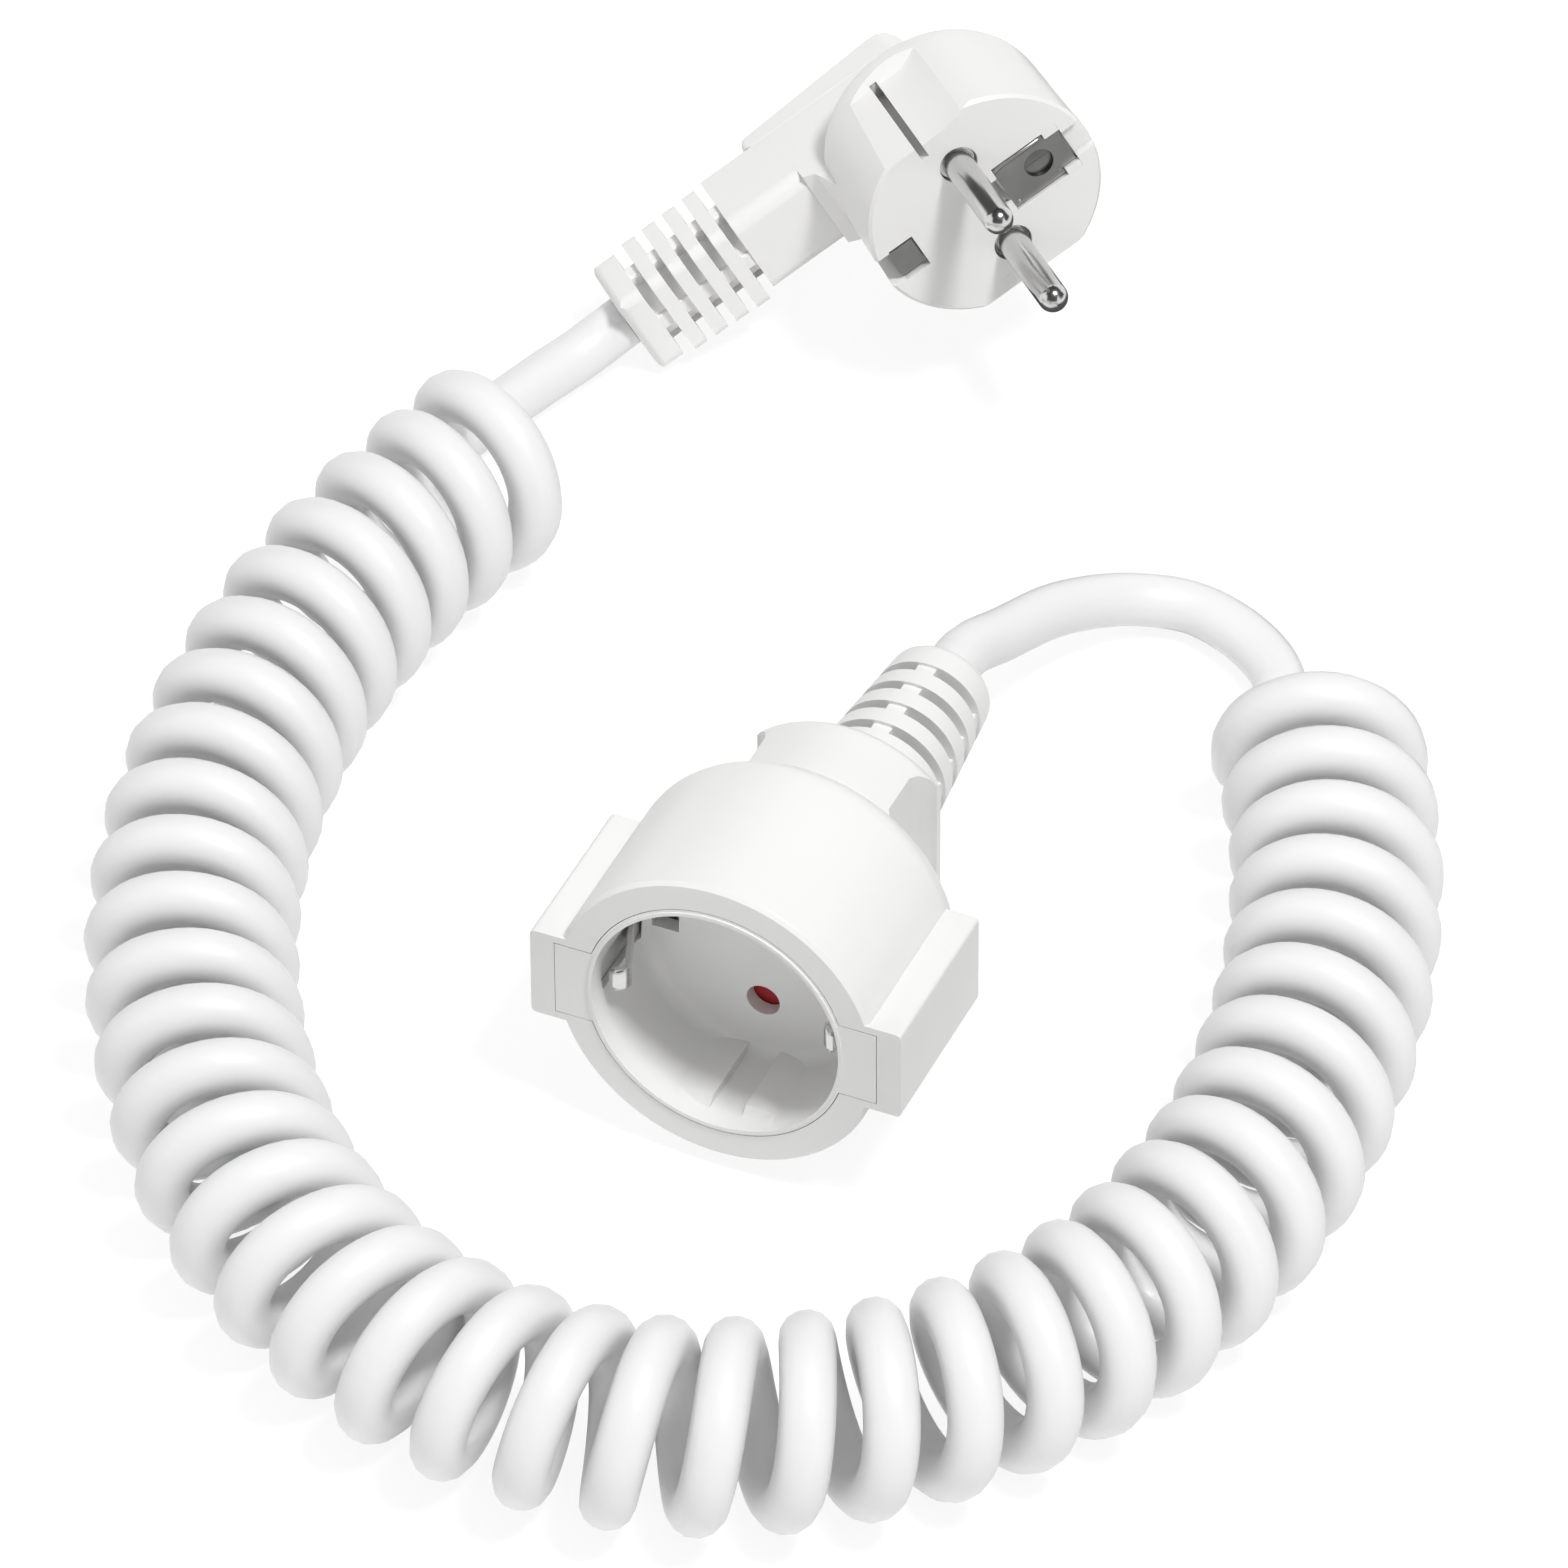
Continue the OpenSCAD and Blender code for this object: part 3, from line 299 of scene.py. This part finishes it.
def drawn(s):
    # turned or drawn metal: fine lines across the given direction and small stains in the plating
    tree, given, out = newGroup(
        "drawnMetal",
        [("Colour", "NodeSocketColor", (0.8, 0.8, 0.8, 1)), ("Stain", "NodeSocketFloat", 0.1),
         ("Stretch", "NodeSocketVector", (1.0, 1.0, 1.0)), ("Line Scale", "NodeSocketFloat", 900.0),
         ("Roughness", "NodeSocketFloat", 0.15), ("Roughness Spread", "NodeSocketFloat", 0.1)],
    )
    where = addNode(tree, "ShaderNodeTexCoord").outputs["Object"]
    along = addNode(tree, "ShaderNodeVectorMath", {0: where, 1: given["Stretch"]}, operation="MULTIPLY")
    lines = noise(tree, along.outputs["Vector"], {"Scale": given["Line Scale"], **s["lines"]})
    cloud = noise(tree, where, s["cloud"])
    dim = maths(tree, "SUBTRACT", 1.0, mapped(tree, cloud, s["cloudRange"], (0.0, given["Stain"])))
    rough = maths(tree, "MULTIPLY_ADD", lines, given["Roughness Spread"], given["Roughness"])
    tree.links.new(dimmed(tree, given["Colour"], dim), out["Colour"])
    tree.links.new(rough, out["Roughness"])
    tree.links.new(lines, out["Height"])
    return tree


def emptyMaterial(name):
    material = bpy.data.materials.new(name)
    material.use_nodes = True
    tree = material.node_tree
    tree.nodes.clear()
    return material, tree, tree.nodes.new("ShaderNodeOutputMaterial").inputs["Surface"]


def finishMaterial(name, skinGroup, finish, look):
    material, tree, out = emptyMaterial(name)
    skin = addNode(tree, "ShaderNodeGroup", look, node_tree=skinGroup).outputs
    bump = addNode(tree, "ShaderNodeBump", {
        "Strength": finish["bump"], "Distance": finish["relief"] * mm, "Height": skin["Height"],
    })
    surface = addNode(tree, "ShaderNodeBsdfPrincipled", {
        "Base Color": skin["Colour"], "Roughness": skin["Roughness"], "Normal": bump.outputs["Normal"],
        **finish["sockets"],
    })
    tree.links.new(surface.outputs["BSDF"], out)
    material.diffuse_color = (*look["Colour"][:3], 1)
    return material


# the crevice amount darkens a look's colour in slots and corners, as painted shade; 0 turns it off
plasticLooks = {
    "shellWhite": {"Colour": (0.85, 0.848, 0.838, 1), "Roughness": 0.36, "Grain Scale": 3200.0},
    "cupIvory": {"Colour": (0.86, 0.858, 0.85, 1), "Roughness": 0.4, "Grain Scale": 3000.0, "Painted Shade": 0.0},
    "plugIvory": {"Colour": (0.85, 0.847, 0.834, 1), "Roughness": 0.34, "Grain Scale": 3200.0},
    "innerIvory": {"Colour": (0.82, 0.81, 0.78, 1), "Roughness": 0.5, "Grain Scale": 2400.0, "Painted Shade": 0.0},
    "bootWhite": {"Colour": (0.86, 0.859, 0.853, 1), "Roughness": 0.46, "Grain Scale": 2200.0,
                  "Painted Shade": 0.0},
    "bootIvory": {"Colour": (0.86, 0.857, 0.845, 1), "Roughness": 0.44, "Grain Scale": 2200.0,
                  "Painted Shade": 0.0},
    "cordJacket": {"Colour": (0.845, 0.845, 0.845, 1), "Roughness": 0.4, "Grain Scale": 1800.0,
                   "Flow": 0.5, "Roughness Spread": 0.12},
    "shutterRed": {"Colour": (0.5, 0.03, 0.035, 1), "Roughness": 0.38, "Grain Scale": 2600.0},
    "brownCore": {"Colour": (0.12, 0.05, 0.02, 1), "Roughness": 0.42, "Grain Scale": 1800.0},
    "blueCore": {"Colour": (0.02, 0.09, 0.35, 1), "Roughness": 0.42, "Grain Scale": 1800.0},
    "greenCore": {"Colour": (0.08, 0.3, 0.04, 1), "Roughness": 0.42, "Grain Scale": 1800.0},
}
metalLooks = {
    "pinChrome": {"Colour": (0.68, 0.68, 0.675, 1), "Roughness": 0.17, "Stain": 0.05,
                  "Stretch": (1.0, 1.0, 0.12), "Roughness Spread": 0.07},
    "clipChrome": {"Colour": (0.72, 0.72, 0.71, 1), "Roughness": 0.12, "Stain": 0.1,
                   "Stretch": (1.0, 0.08, 1.0), "Roughness Spread": 0.12},
    "bowNickel": {"Colour": (0.74, 0.74, 0.73, 1), "Roughness": 0.48, "Stain": 0.08,
                  "Stretch": (1.0, 0.1, 1.0), "Roughness Spread": 0.1},
    # nearly black metal for the ring inside the earth bore: painted shade
    "paintedBoreShade": {"Colour": (0.1, 0.1, 0.098, 1), "Roughness": 0.42, "Stain": 0.1,
                  "Stretch": (0.3, 1.0, 1.0), "Roughness Spread": 0.12},
    # spring leaves darker than the earth plate, so the bore's edge shows: painted shade
    "leafSteelPaintedShade": {"Colour": (0.37, 0.368, 0.362, 1), "Roughness": 0.34, "Stain": 0.1,
                  "Stretch": (0.3, 1.0, 1.0), "Roughness Spread": 0.12},
    "earthSteel": {"Colour": (0.47, 0.468, 0.462, 1), "Roughness": 0.3, "Stain": 0.14,
                   "Stretch": (1.0, 1.0, 0.1), "Roughness Spread": 0.16},
    "springSteel": {"Colour": (0.5, 0.5, 0.5, 1), "Roughness": 0.25, "Stain": 0.1,
                    "Stretch": (1.0, 1.0, 1.0), "Roughness Spread": 0.1},
}
plasticFinish = {
    # relief in mm
    "bump": 0.18,
    "relief": 0.02,
    "sockets": {"IOR": 1.48, "Coat Weight": 0.06, "Coat Roughness": 0.2},
}
metalFinish = {"bump": 0.05, "relief": 0.004, "sockets": {"Metallic": 1.0}}
materials = {}
for looks, skinGroup, finish in (
    (plasticLooks, moulded(plasticSkin), plasticFinish), (metalLooks, drawn(metalSkin), metalFinish),
):
    for lookName, look in looks.items():
        materials[lookName] = finishMaterial(lookName, skinGroup, finish, look)
print("materials made,", len(materials))

dressing = {
    # part: (look, edge round in mm, steps)
    "coupler_shell": ("shellWhite", 0.45, 3),
    "socket_cup": ("cupIvory", 0.35, 3),
    "contact_carrier": ("innerIvory", 0.0, 0),
    "shutter": ("shutterRed", 0.15, 2),
    "shutter_spring": ("springSteel", 0.0, 0),
    "live_sleeve": ("clipChrome", 0.1, 2),
    "neutral_sleeve": ("clipChrome", 0.1, 2),
    "earth_bow": ("bowNickel", 0.1, 2),
    "coupler_boot": ("bootWhite", 0.35, 3),
    "coupler_jacket_end": ("bootWhite", 0.0, 0),
    "coupler_brown_core": ("brownCore", 0.0, 0),
    "coupler_blue_core": ("blueCore", 0.0, 0),
    "coupler_earth_core": ("greenCore", 0.0, 0),
    "plug_body": ("plugIvory", 0.35, 3),
    "plug_lid": ("plugIvory", 0.5, 3),
    "pin_bridge": ("innerIvory", 0.0, 0),
    "live_pin": ("pinChrome", 0.1, 2),
    "neutral_pin": ("pinChrome", 0.1, 2),
    "plug_earth_strip": ("earthSteel", 0.12, 2),
    "plug_boot": ("bootIvory", 0.4, 3),
    "plug_jacket_end": ("bootIvory", 0.0, 0),
    "plug_brown_core": ("brownCore", 0.0, 0),
    "plug_blue_core": ("blueCore", 0.0, 0),
    "plug_earth_core": ("greenCore", 0.0, 0),
}
edgeWork = {
    # mm and degrees: corners joined, flats merged, edges rounded and shading evened
    "weldReach": 0.004,
    "flatAngle": 0.6,
    "edgeAngle": 28,
    "faceWeight": 80,
}


def dress(part, look, edge, steps, s):
    mesh = part.data
    mesh.materials.clear()
    mesh.materials.append(materials[look])
    if edge <= 0:
        return
    for polygon in mesh.polygons:
        polygon.use_smooth = True
    weld = part.modifiers.new("joinCorners", "WELD")
    weld.merge_threshold = s["weldReach"] * mm
    thin = part.modifiers.new("mergeFlats", "DECIMATE")
    thin.decimate_type = "DISSOLVE"
    thin.angle_limit = math.radians(s["flatAngle"])
    bevel = part.modifiers.new("roundEdges", "BEVEL")
    bevel.width = edge * mm
    bevel.segments = steps
    bevel.limit_method = "ANGLE"
    bevel.angle_limit = math.radians(s["edgeAngle"])
    bevel.harden_normals = False
    even = part.modifiers.new("evenShade", "WEIGHTED_NORMAL")
    even.keep_sharp = False
    even.weight = s["faceWeight"]


for partName, (look, edge, steps) in dressing.items():
    dress(nodes[partName], look, edge, steps, edgeWork)
print("carried-over parts dressed,", len(dressing))

coiledLead.data.materials.append(materials["cordJacket"])
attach(coiledLead, "lead")
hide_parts("coupler_tail", "curly_cord", "plug_tail")
print("cord rides on the lead")


def ringSection(halfWidth, halfThickness, fullness, sides):
    # closed section: an ellipse at a fullness of 2, squarer above it
    power = 2 / fullness
    turns = [2 * math.pi * k / sides for k in range(sides)]
    return [(math.copysign(abs(math.cos(a)) ** power, math.cos(a)) * halfWidth,
             math.copysign(abs(math.sin(a)) ** power, math.sin(a)) * halfThickness) for a in turns]


def roundSection(radius, sides):
    return ringSection(radius, radius, 2, sides)


def sweep(line, sections, sideways):
    # closed skin of one section after another along a line
    points, faces = [], []
    count = len(sections[0])
    for i, (middle, section) in enumerate(zip(line, sections)):
        ahead = (line[min(i + 1, len(line) - 1)] - line[max(i - 1, 0)]).normalized()
        up = ahead.cross(sideways).normalized()
        points += [middle + sideways * a + up * b for a, b in section]
    for i in range(len(line) - 1):
        for k in range(count):
            a, b = i * count + k, i * count + (k + 1) % count
            faces.append((a, b, b + count, a + count))
    faces.append(tuple(reversed(range(count))))
    faces.append(tuple((len(line) - 1) * count + k for k in range(count)))
    return points, faces


def panel(outer, inner, half):
    # curved wall between two lines, over a width to both sides
    points = [Vector((x, side * half, z)) for line in (outer, inner) for x, z in line for side in (1, -1)]
    step = 2 * len(outer)
    faces = []
    for k in range(0, step - 2, 2):
        faces += [(k, k + 1, k + 3, k + 2), (step + k, step + k + 2, step + k + 3, step + k + 1),
                  (k, k + 2, step + k + 2, step + k), (k + 1, step + k + 1, step + k + 3, k + 3)]
    faces += [(0, step, step + 1, 1), (step - 2, step - 1, 2 * step - 1, 2 * step - 2)]
    return points, faces


def prism(outline, low, high):
    # straight block over a flat outline
    count = len(outline)
    points = [Vector((x, y, z)) for z in (low, high) for x, y in outline]
    faces = [(k, (k + 1) % count, count + (k + 1) % count, count + k) for k in range(count)]
    faces += [tuple(reversed(range(count))), tuple(range(count, 2 * count))]
    return points, faces


def turned(profile, sides, toPoint):
    # ring of a closed profile of (place along the axis, radius)
    points, faces = [], []
    for k in range(sides):
        turn = 2 * math.pi * k / sides
        points += [Vector(toPoint(a, r * math.cos(turn), r * math.sin(turn))) for a, r in profile]
    count = len(profile)
    for k in range(sides):
        near, far = k * count, (k + 1) % sides * count
        faces += [(near + i, far + i, far + (i + 1) % count, near + (i + 1) % count) for i in range(count)]
    return points, faces


sharpAngle = 40


def makePiece(name, parts, place, look):
    points, faces = [], []
    for partPoints, partFaces in parts:
        faces += [tuple(len(points) + k for k in face) for face in partFaces]
        points += [(place @ p) * mm for p in partPoints]
    mesh = bpy.data.meshes.new(name)
    mesh.from_pydata(points, [], faces)
    outward = bmesh.new()
    outward.from_mesh(mesh)
    bmesh.ops.recalc_face_normals(outward, faces=outward.faces)
    outward.to_mesh(mesh)
    outward.free()
    mesh.materials.append(materials[look])
    for polygon in mesh.polygons:
        polygon.use_smooth = True
    mesh.set_sharp_from_angle(angle=math.radians(sharpAngle))
    piece = bpy.data.objects.new(name, mesh)
    scene.collection.objects.link(piece)
    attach(piece, "lead")
    return piece


def makePlugPiece(name, parts, look):
    makePiece(name, parts, plugMatrix, look)


earthTrim = {
    # mm in the plug's axes: beads are lines of ((x, y), radius), welds are (x, y, radius)
    "plateTop": -0.6,
    "flange": [
        ((3.5, 3.9), 0.2), ((3.8, 3.9), 0.55), ((4.4, 4.0), 0.5), ((5.2, 4.1), 0.4), ((8.4, 4.1), 0.4),
        ((12.2, 4.1), 0.4), ((12.6, 4.1), 0.15),
    ],
    "fold": [((3.4, -2.6), 0.1), ((3.4, -2.2), 0.28), ((3.4, 2.2), 0.28), ((3.4, 2.6), 0.1)],
    "welds": [(4.5, -4.0, 0.4), (4.4, 4.2, 0.5), (12.4, -3.6, 0.22)],
    "flangeLift": 0.12,
    "foldLift": -0.1,
    "sides": 12,
    "dotRings": 5,
    "dotHeight": 0.7,
    "dotTip": 0.01,
}


def bead(s, line, lift):
    # raised round bead along a line on the plate
    path = [Vector((x, y, s["plateTop"] + lift)) for (x, y), _ in line]
    sideways = (path[-1] - path[0]).normalized().cross(Vector((0, 0, 1)))
    return sweep(path, [roundSection(r, s["sides"]) for _, r in line], sideways)


def weldDot(s, x, y, r):
    turns = [math.pi / 2 * i / s["dotRings"] for i in range(s["dotRings"] + 1)]
    path = [Vector((x, y, s["plateTop"] + r * s["dotHeight"] * math.sin(a))) for a in turns]
    sections = [roundSection(max(r * math.cos(a), s["dotTip"]), s["sides"]) for a in turns]
    return sweep(path, sections, Vector((1, 0, 0)))


makePlugPiece("earthPlateTrim", [
    bead(earthTrim, earthTrim["flange"], earthTrim["flangeLift"]),
    bead(earthTrim, earthTrim["fold"], earthTrim["foldLift"]),
    *(weldDot(earthTrim, x, y, r) for x, y, r in earthTrim["welds"]),
], "earthSteel")

earthLeaf = {
    # mm in the plug's axes, and faces across and along one leaf
    "boreAt": 10.4,
    "radius": 2.42,
    "rimShare": 0.985,
    "top": -1.5,
    "thickness": 0.25,
    "slit": 0.025,
    "dish": 0.08,
    "across": 16,
    "along": 8,
}


def halfLeaf(s, side):
    # half of a round spring contact, dished towards the slit
    points, faces = [], []
    columns = s["across"] + 1
    for level in (0, -s["thickness"]):
        for j in range(s["along"] + 1):
            for i in range(columns):
                x = s["radius"] * math.sin(math.pi / 2 * s["rimShare"] * (2 * i / s["across"] - 1))
                reach = math.sqrt(s["radius"] ** 2 - x * x)
                y = s["slit"] + (reach - s["slit"]) * j / s["along"]
                drop = s["dish"] * (1 - (x * x + y * y) / s["radius"] ** 2)
                points.append(Vector((s["boreAt"] + x * side, y * side, s["top"] + level - drop)))
    under = columns * (s["along"] + 1)
    for j in range(s["along"]):
        for i in range(s["across"]):
            a = j * columns + i
            quad = (a, a + 1, a + columns + 1, a + columns)
            faces.append(quad)
            faces.append(tuple(under + k for k in reversed(quad)))
    rim = list(range(columns)) + [j * columns + s["across"] for j in range(1, s["along"] + 1)]
    rim += [s["along"] * columns + i for i in range(s["across"] - 1, -1, -1)]
    rim += [j * columns for j in range(s["along"] - 1, 0, -1)]
    faces += [(b, a, under + a, under + b) for a, b in zip(rim, rim[1:] + rim[:1])]
    return points, faces


# leaves in the darker steel: painted shade at the bore's edge
makePlugPiece("earthSpringLeaves", [halfLeaf(earthLeaf, side) for side in (1, -1)], "leafSteelPaintedShade")

clipLip = {
    # mm in the coupler's axes: distance from the axis, depth, half width, half thickness
    "line": [
        (17.0, -6.4, 1.9, 0.3), (16.55, -5.6, 2.05, 0.44), (16.2, -4.8, 2.05, 0.5), (16.4, -4.0, 2.0, 0.5),
        (17.0, -3.4, 1.85, 0.5), (17.8, -3.2, 1.6, 0.48), (18.5, -3.5, 1.1, 0.35),
    ],
    "fullness": 5.0,
    "sides": 24,
}


def clipSide(s, degrees):
    turn = Matrix.Rotation(math.radians(degrees), 3, "Z")
    path = [turn @ Vector((x, 0, z)) for x, z, _, _ in s["line"]]
    sections = [ringSection(w, t, s["fullness"], s["sides"]) for _, _, w, t in s["line"]]
    return sweep(path, sections, turn @ Vector((0, 1, 0)))


clipSides = [clipSide(clipLip, degrees) for degrees in (0, 180)]
makePiece("earthClipLips", clipSides, couplerMatrix, "clipChrome")
print("small metal pieces made")

earthField = {
    # mm in the plug's axes: outlines that narrow the sunk field's inner and outer end, and their depth
    "corners": [
        [(1.62, 2.7), (3.3, 2.7), (3.5, 2.8), (3.6, 3.0), (3.6, 4.88), (1.62, 4.88)],
        [(13.2, 3.7), (13.4, 3.6), (15.88, 3.6), (15.88, 4.88), (13.2, 4.88)],
    ],
    "depth": (-0.9, -0.04),
}
makePlugPiece("earthFieldCorners", [
    prism([(x, side * y) for x, y in corner][::side], *earthField["depth"])
    for side in (1, -1) for corner in earthField["corners"]
], "plugIvory")

# dark ring just inside the earth bore's wall: painted shade in the bore
earthBore = {
    # mm in the plug's axes
    "depth": (-1.45, -0.7),
    "inner": 2.36,
    "outer": 2.44,
    "sides": 48,
}


def boreRing(s):
    low, high = s["depth"]
    profile = [(low, s["inner"]), (low, s["outer"]), (high, s["outer"]), (high, s["inner"])]
    return turned(profile, s["sides"], lambda a, u, v: (earthLeaf["boreAt"] + u, v, a))


makePlugPiece("earthBoreShadeRing", [boreRing(earthBore)], "paintedBoreShade")

plugBack = {
    # mm in the plug's axes: half width, outer and inner lines as (x, z), the groove's mouth as (x, y)
    "half": 4.98,
    "neckOuter": [(-34.55, -35.4), (-34.1, -35.88), (-24.5, -35.88)],
    "neckInner": [(-34.55, -34.7), (-34.1, -34.7), (-24.5, -34.7)],
    "endMiddle": (0.8, -31.9),
    "endRadii": (3.98, 2.8),
    "endTurns": (-79, -60, -40, -20, 0),
    "discOuter": [(4.78, -25.48), (6.28, -25.48)],
    "discInner": [(3.6, -24.3), (6.28, -24.3)],
    "groove": [(-4.24, -16.89), (-2.96, -16.89), (-2.96, -14.32), (-4.24, -14.32)],
    "grooveReach": (-8.0, -0.01),
}


def arcPoints(middle, radius, turns):
    return [(middle[0] + radius * math.cos(math.radians(a)), middle[1] + radius * math.sin(math.radians(a)))
            for a in turns]


def backPanels(s):
    outer, inner = [arcPoints(s["endMiddle"], radius, s["endTurns"]) for radius in s["endRadii"]]
    return [
        panel(s["neckOuter"], s["neckInner"], s["half"]),
        panel(outer + s["discOuter"], inner + s["discInner"], s["half"]),
        prism(s["groove"], *s["grooveReach"]),
    ]


makePlugPiece("plugBackPanels", backPanels(plugBack), "plugIvory")

bootRings = {
    # mm: the boot's end and axis in the plug's axes, and the slots as distances from the boot's end
    "end": -56.6,
    "axis": -28.6,
    "slots": [(4.4, 6.25), (8.65, 10.2), (12.6, 14.15), (16.55, 18.1), (20.5, 22.0)],
    "inner": 4.25,
    "outer": 5.7,
    "waist": 0.12,
    "waistSteps": 4,
    "sides": 56,
}


def grommet(s, start, end):
    # ring in one slot, with a slight waist
    steps = s["waistSteps"]
    profile = [(start, s["inner"]), (start, s["outer"])]
    profile += [(start + (end - start) * k / steps, s["outer"] - s["waist"] * math.sin(math.pi * k / steps))
                for k in range(1, steps)]
    profile += [(end, s["outer"]), (end, s["inner"])]
    return turned(profile, s["sides"], lambda a, u, v: (s["end"] + a, u, s["axis"] + v))


grommets = [grommet(bootRings, *slot) for slot in bootRings["slots"]]
makePlugPiece("plugBootRings", grommets, "bootIvory")
print("plug panels and boot rings made")

studio = {
    # floor's size in m and how far it lies below the object
    "floorSize": 24.0,
    "floorDrop": 0.0001,
    "floorBounce": 0.9,
    "floorSeen": 0.15,
    "floorLift": 0.88,
    "skyStrength": 0.235,
    "lamps": {
        # name: place m, aim m, size m, power W, seen in reflections
        "keySoftbox": ((1.16, -0.28, 3.0), (0, 0.04, 0), 0.5, 66.0, True),
        "topPanel": ((0, 0, 3.0), (0, 0, 0), 2.0, 20.5, False),
        "frontFill": ((0.25, -2.4, 0.8), (0, 0, 0), 1.4, 11.0, False),
        "leftFill": ((-1.8, 0.4, 1.2), (0, 0, 0), 1.2, 7.0, False),
    },
    "flags": {
        # name: place m, aim m, width m, height m
        "backFlag": ((-1.33, 0.7, 0.8), (0, 0, 0), 2.2, 1.3),
        "cameraFlag": ((0.7, -2.25, 1.55), (0, 0, 0), 4.6, 2.5),
        "rightFlag": ((1.7, 0.6, 0.84), (0, 0, 0), 1.6, 1.2),
        "roofFlag": ((0.3, 0.3, 3.4), (0.3, 0.3, 0), 7.0, 7.0),
        "lowFlag": ((0.02, 0.16, 0.0005), (0.02, 0.16, 1), 0.15, 0.15),
    },
    "flagShade": 0.1,
}


def seenRays(tree):
    # 1 for what the camera, a reflection or a clear piece sees, otherwise 0
    path = addNode(tree, "ShaderNodeLightPath").outputs
    seen = maths(tree, "MAXIMUM", path["Is Camera Ray"], path["Is Glossy Ray"])
    return maths(tree, "MAXIMUM", seen, path["Is Transmission Ray"])


def makeCard(name, width, height, material):
    w, h = width / 2, height / 2
    mesh = bpy.data.meshes.new(name)
    mesh.from_pydata([(-w, -h, 0), (w, -h, 0), (w, h, 0), (-w, h, 0)], [], [(0, 1, 2, 3)])
    mesh.materials.append(material)
    card = bpy.data.objects.new(name, mesh)
    scene.collection.objects.link(card)
    return card


def makeFloor(s):
    material, tree, out = emptyMaterial("paperWhite")
    seen = seenRays(tree)
    tint = mapped(tree, seen, (0.0, 1.0), (s["floorBounce"], s["floorSeen"]))
    lift = maths(tree, "MULTIPLY", seen, s["floorLift"])
    matt = addNode(tree, "ShaderNodeBsdfDiffuse", {"Color": tint})
    glow = addNode(tree, "ShaderNodeEmission", {"Color": (1, 1, 1, 1), "Strength": lift})
    both = addNode(tree, "ShaderNodeAddShader", {0: matt.outputs[0], 1: glow.outputs[0]})
    tree.links.new(both.outputs[0], out)
    floor = makeCard("paperFloor", s["floorSize"], s["floorSize"], material)
    floor.location.z = -s["floorDrop"]


def makeSky(s):
    world = bpy.data.worlds.new("studioSky")
    scene.world = world
    world.use_nodes = True
    tree = world.node_tree
    tree.nodes.clear()
    strength = mapped(tree, seenRays(tree), (0.0, 1.0), (s["skyStrength"], 1.0))
    back = addNode(tree, "ShaderNodeBackground", {"Color": (1, 1, 1, 1), "Strength": strength})
    out = addNode(tree, "ShaderNodeOutputWorld")
    tree.links.new(back.outputs[0], out.inputs["Surface"])


def makeLamp(name, place, aim, size, power, mirrored):
    light = bpy.data.lights.new(name, "AREA")
    light.shape = "SQUARE"
    light.size = size
    light.energy = power
    lamp = bpy.data.objects.new(name, light)
    scene.collection.objects.link(lamp)
    aimAt(lamp, place, aim, "-Z")
    lamp.visible_glossy = mirrored


def makeFlag(name, place, aim, width, height, material):
    # dark card that only reflections see
    flag = makeCard(name, width, height, material)
    aimAt(flag, place, aim, "Z")
    flag.visible_camera = False
    flag.visible_diffuse = False
    flag.visible_transmission = False
    flag.visible_shadow = False


def flagMaterial(shade):
    material, tree, out = emptyMaterial("flagCard")
    matt = addNode(tree, "ShaderNodeBsdfDiffuse", {"Color": (shade, shade, shade, 1)})
    tree.links.new(matt.outputs[0], out)
    return material


makeFloor(studio)
makeSky(studio)
darkCard = flagMaterial(studio["flagShade"])
for flagName, (place, aim, width, height) in studio["flags"].items():
    makeFlag(flagName, place, aim, width, height, darkCard)
for lampName, (place, aim, size, power, mirrored) in studio["lamps"].items():
    makeLamp(lampName, place, aim, size, power, mirrored)
scene.view_settings.view_transform = "Standard"
print("studio lit")

print("scene ready")
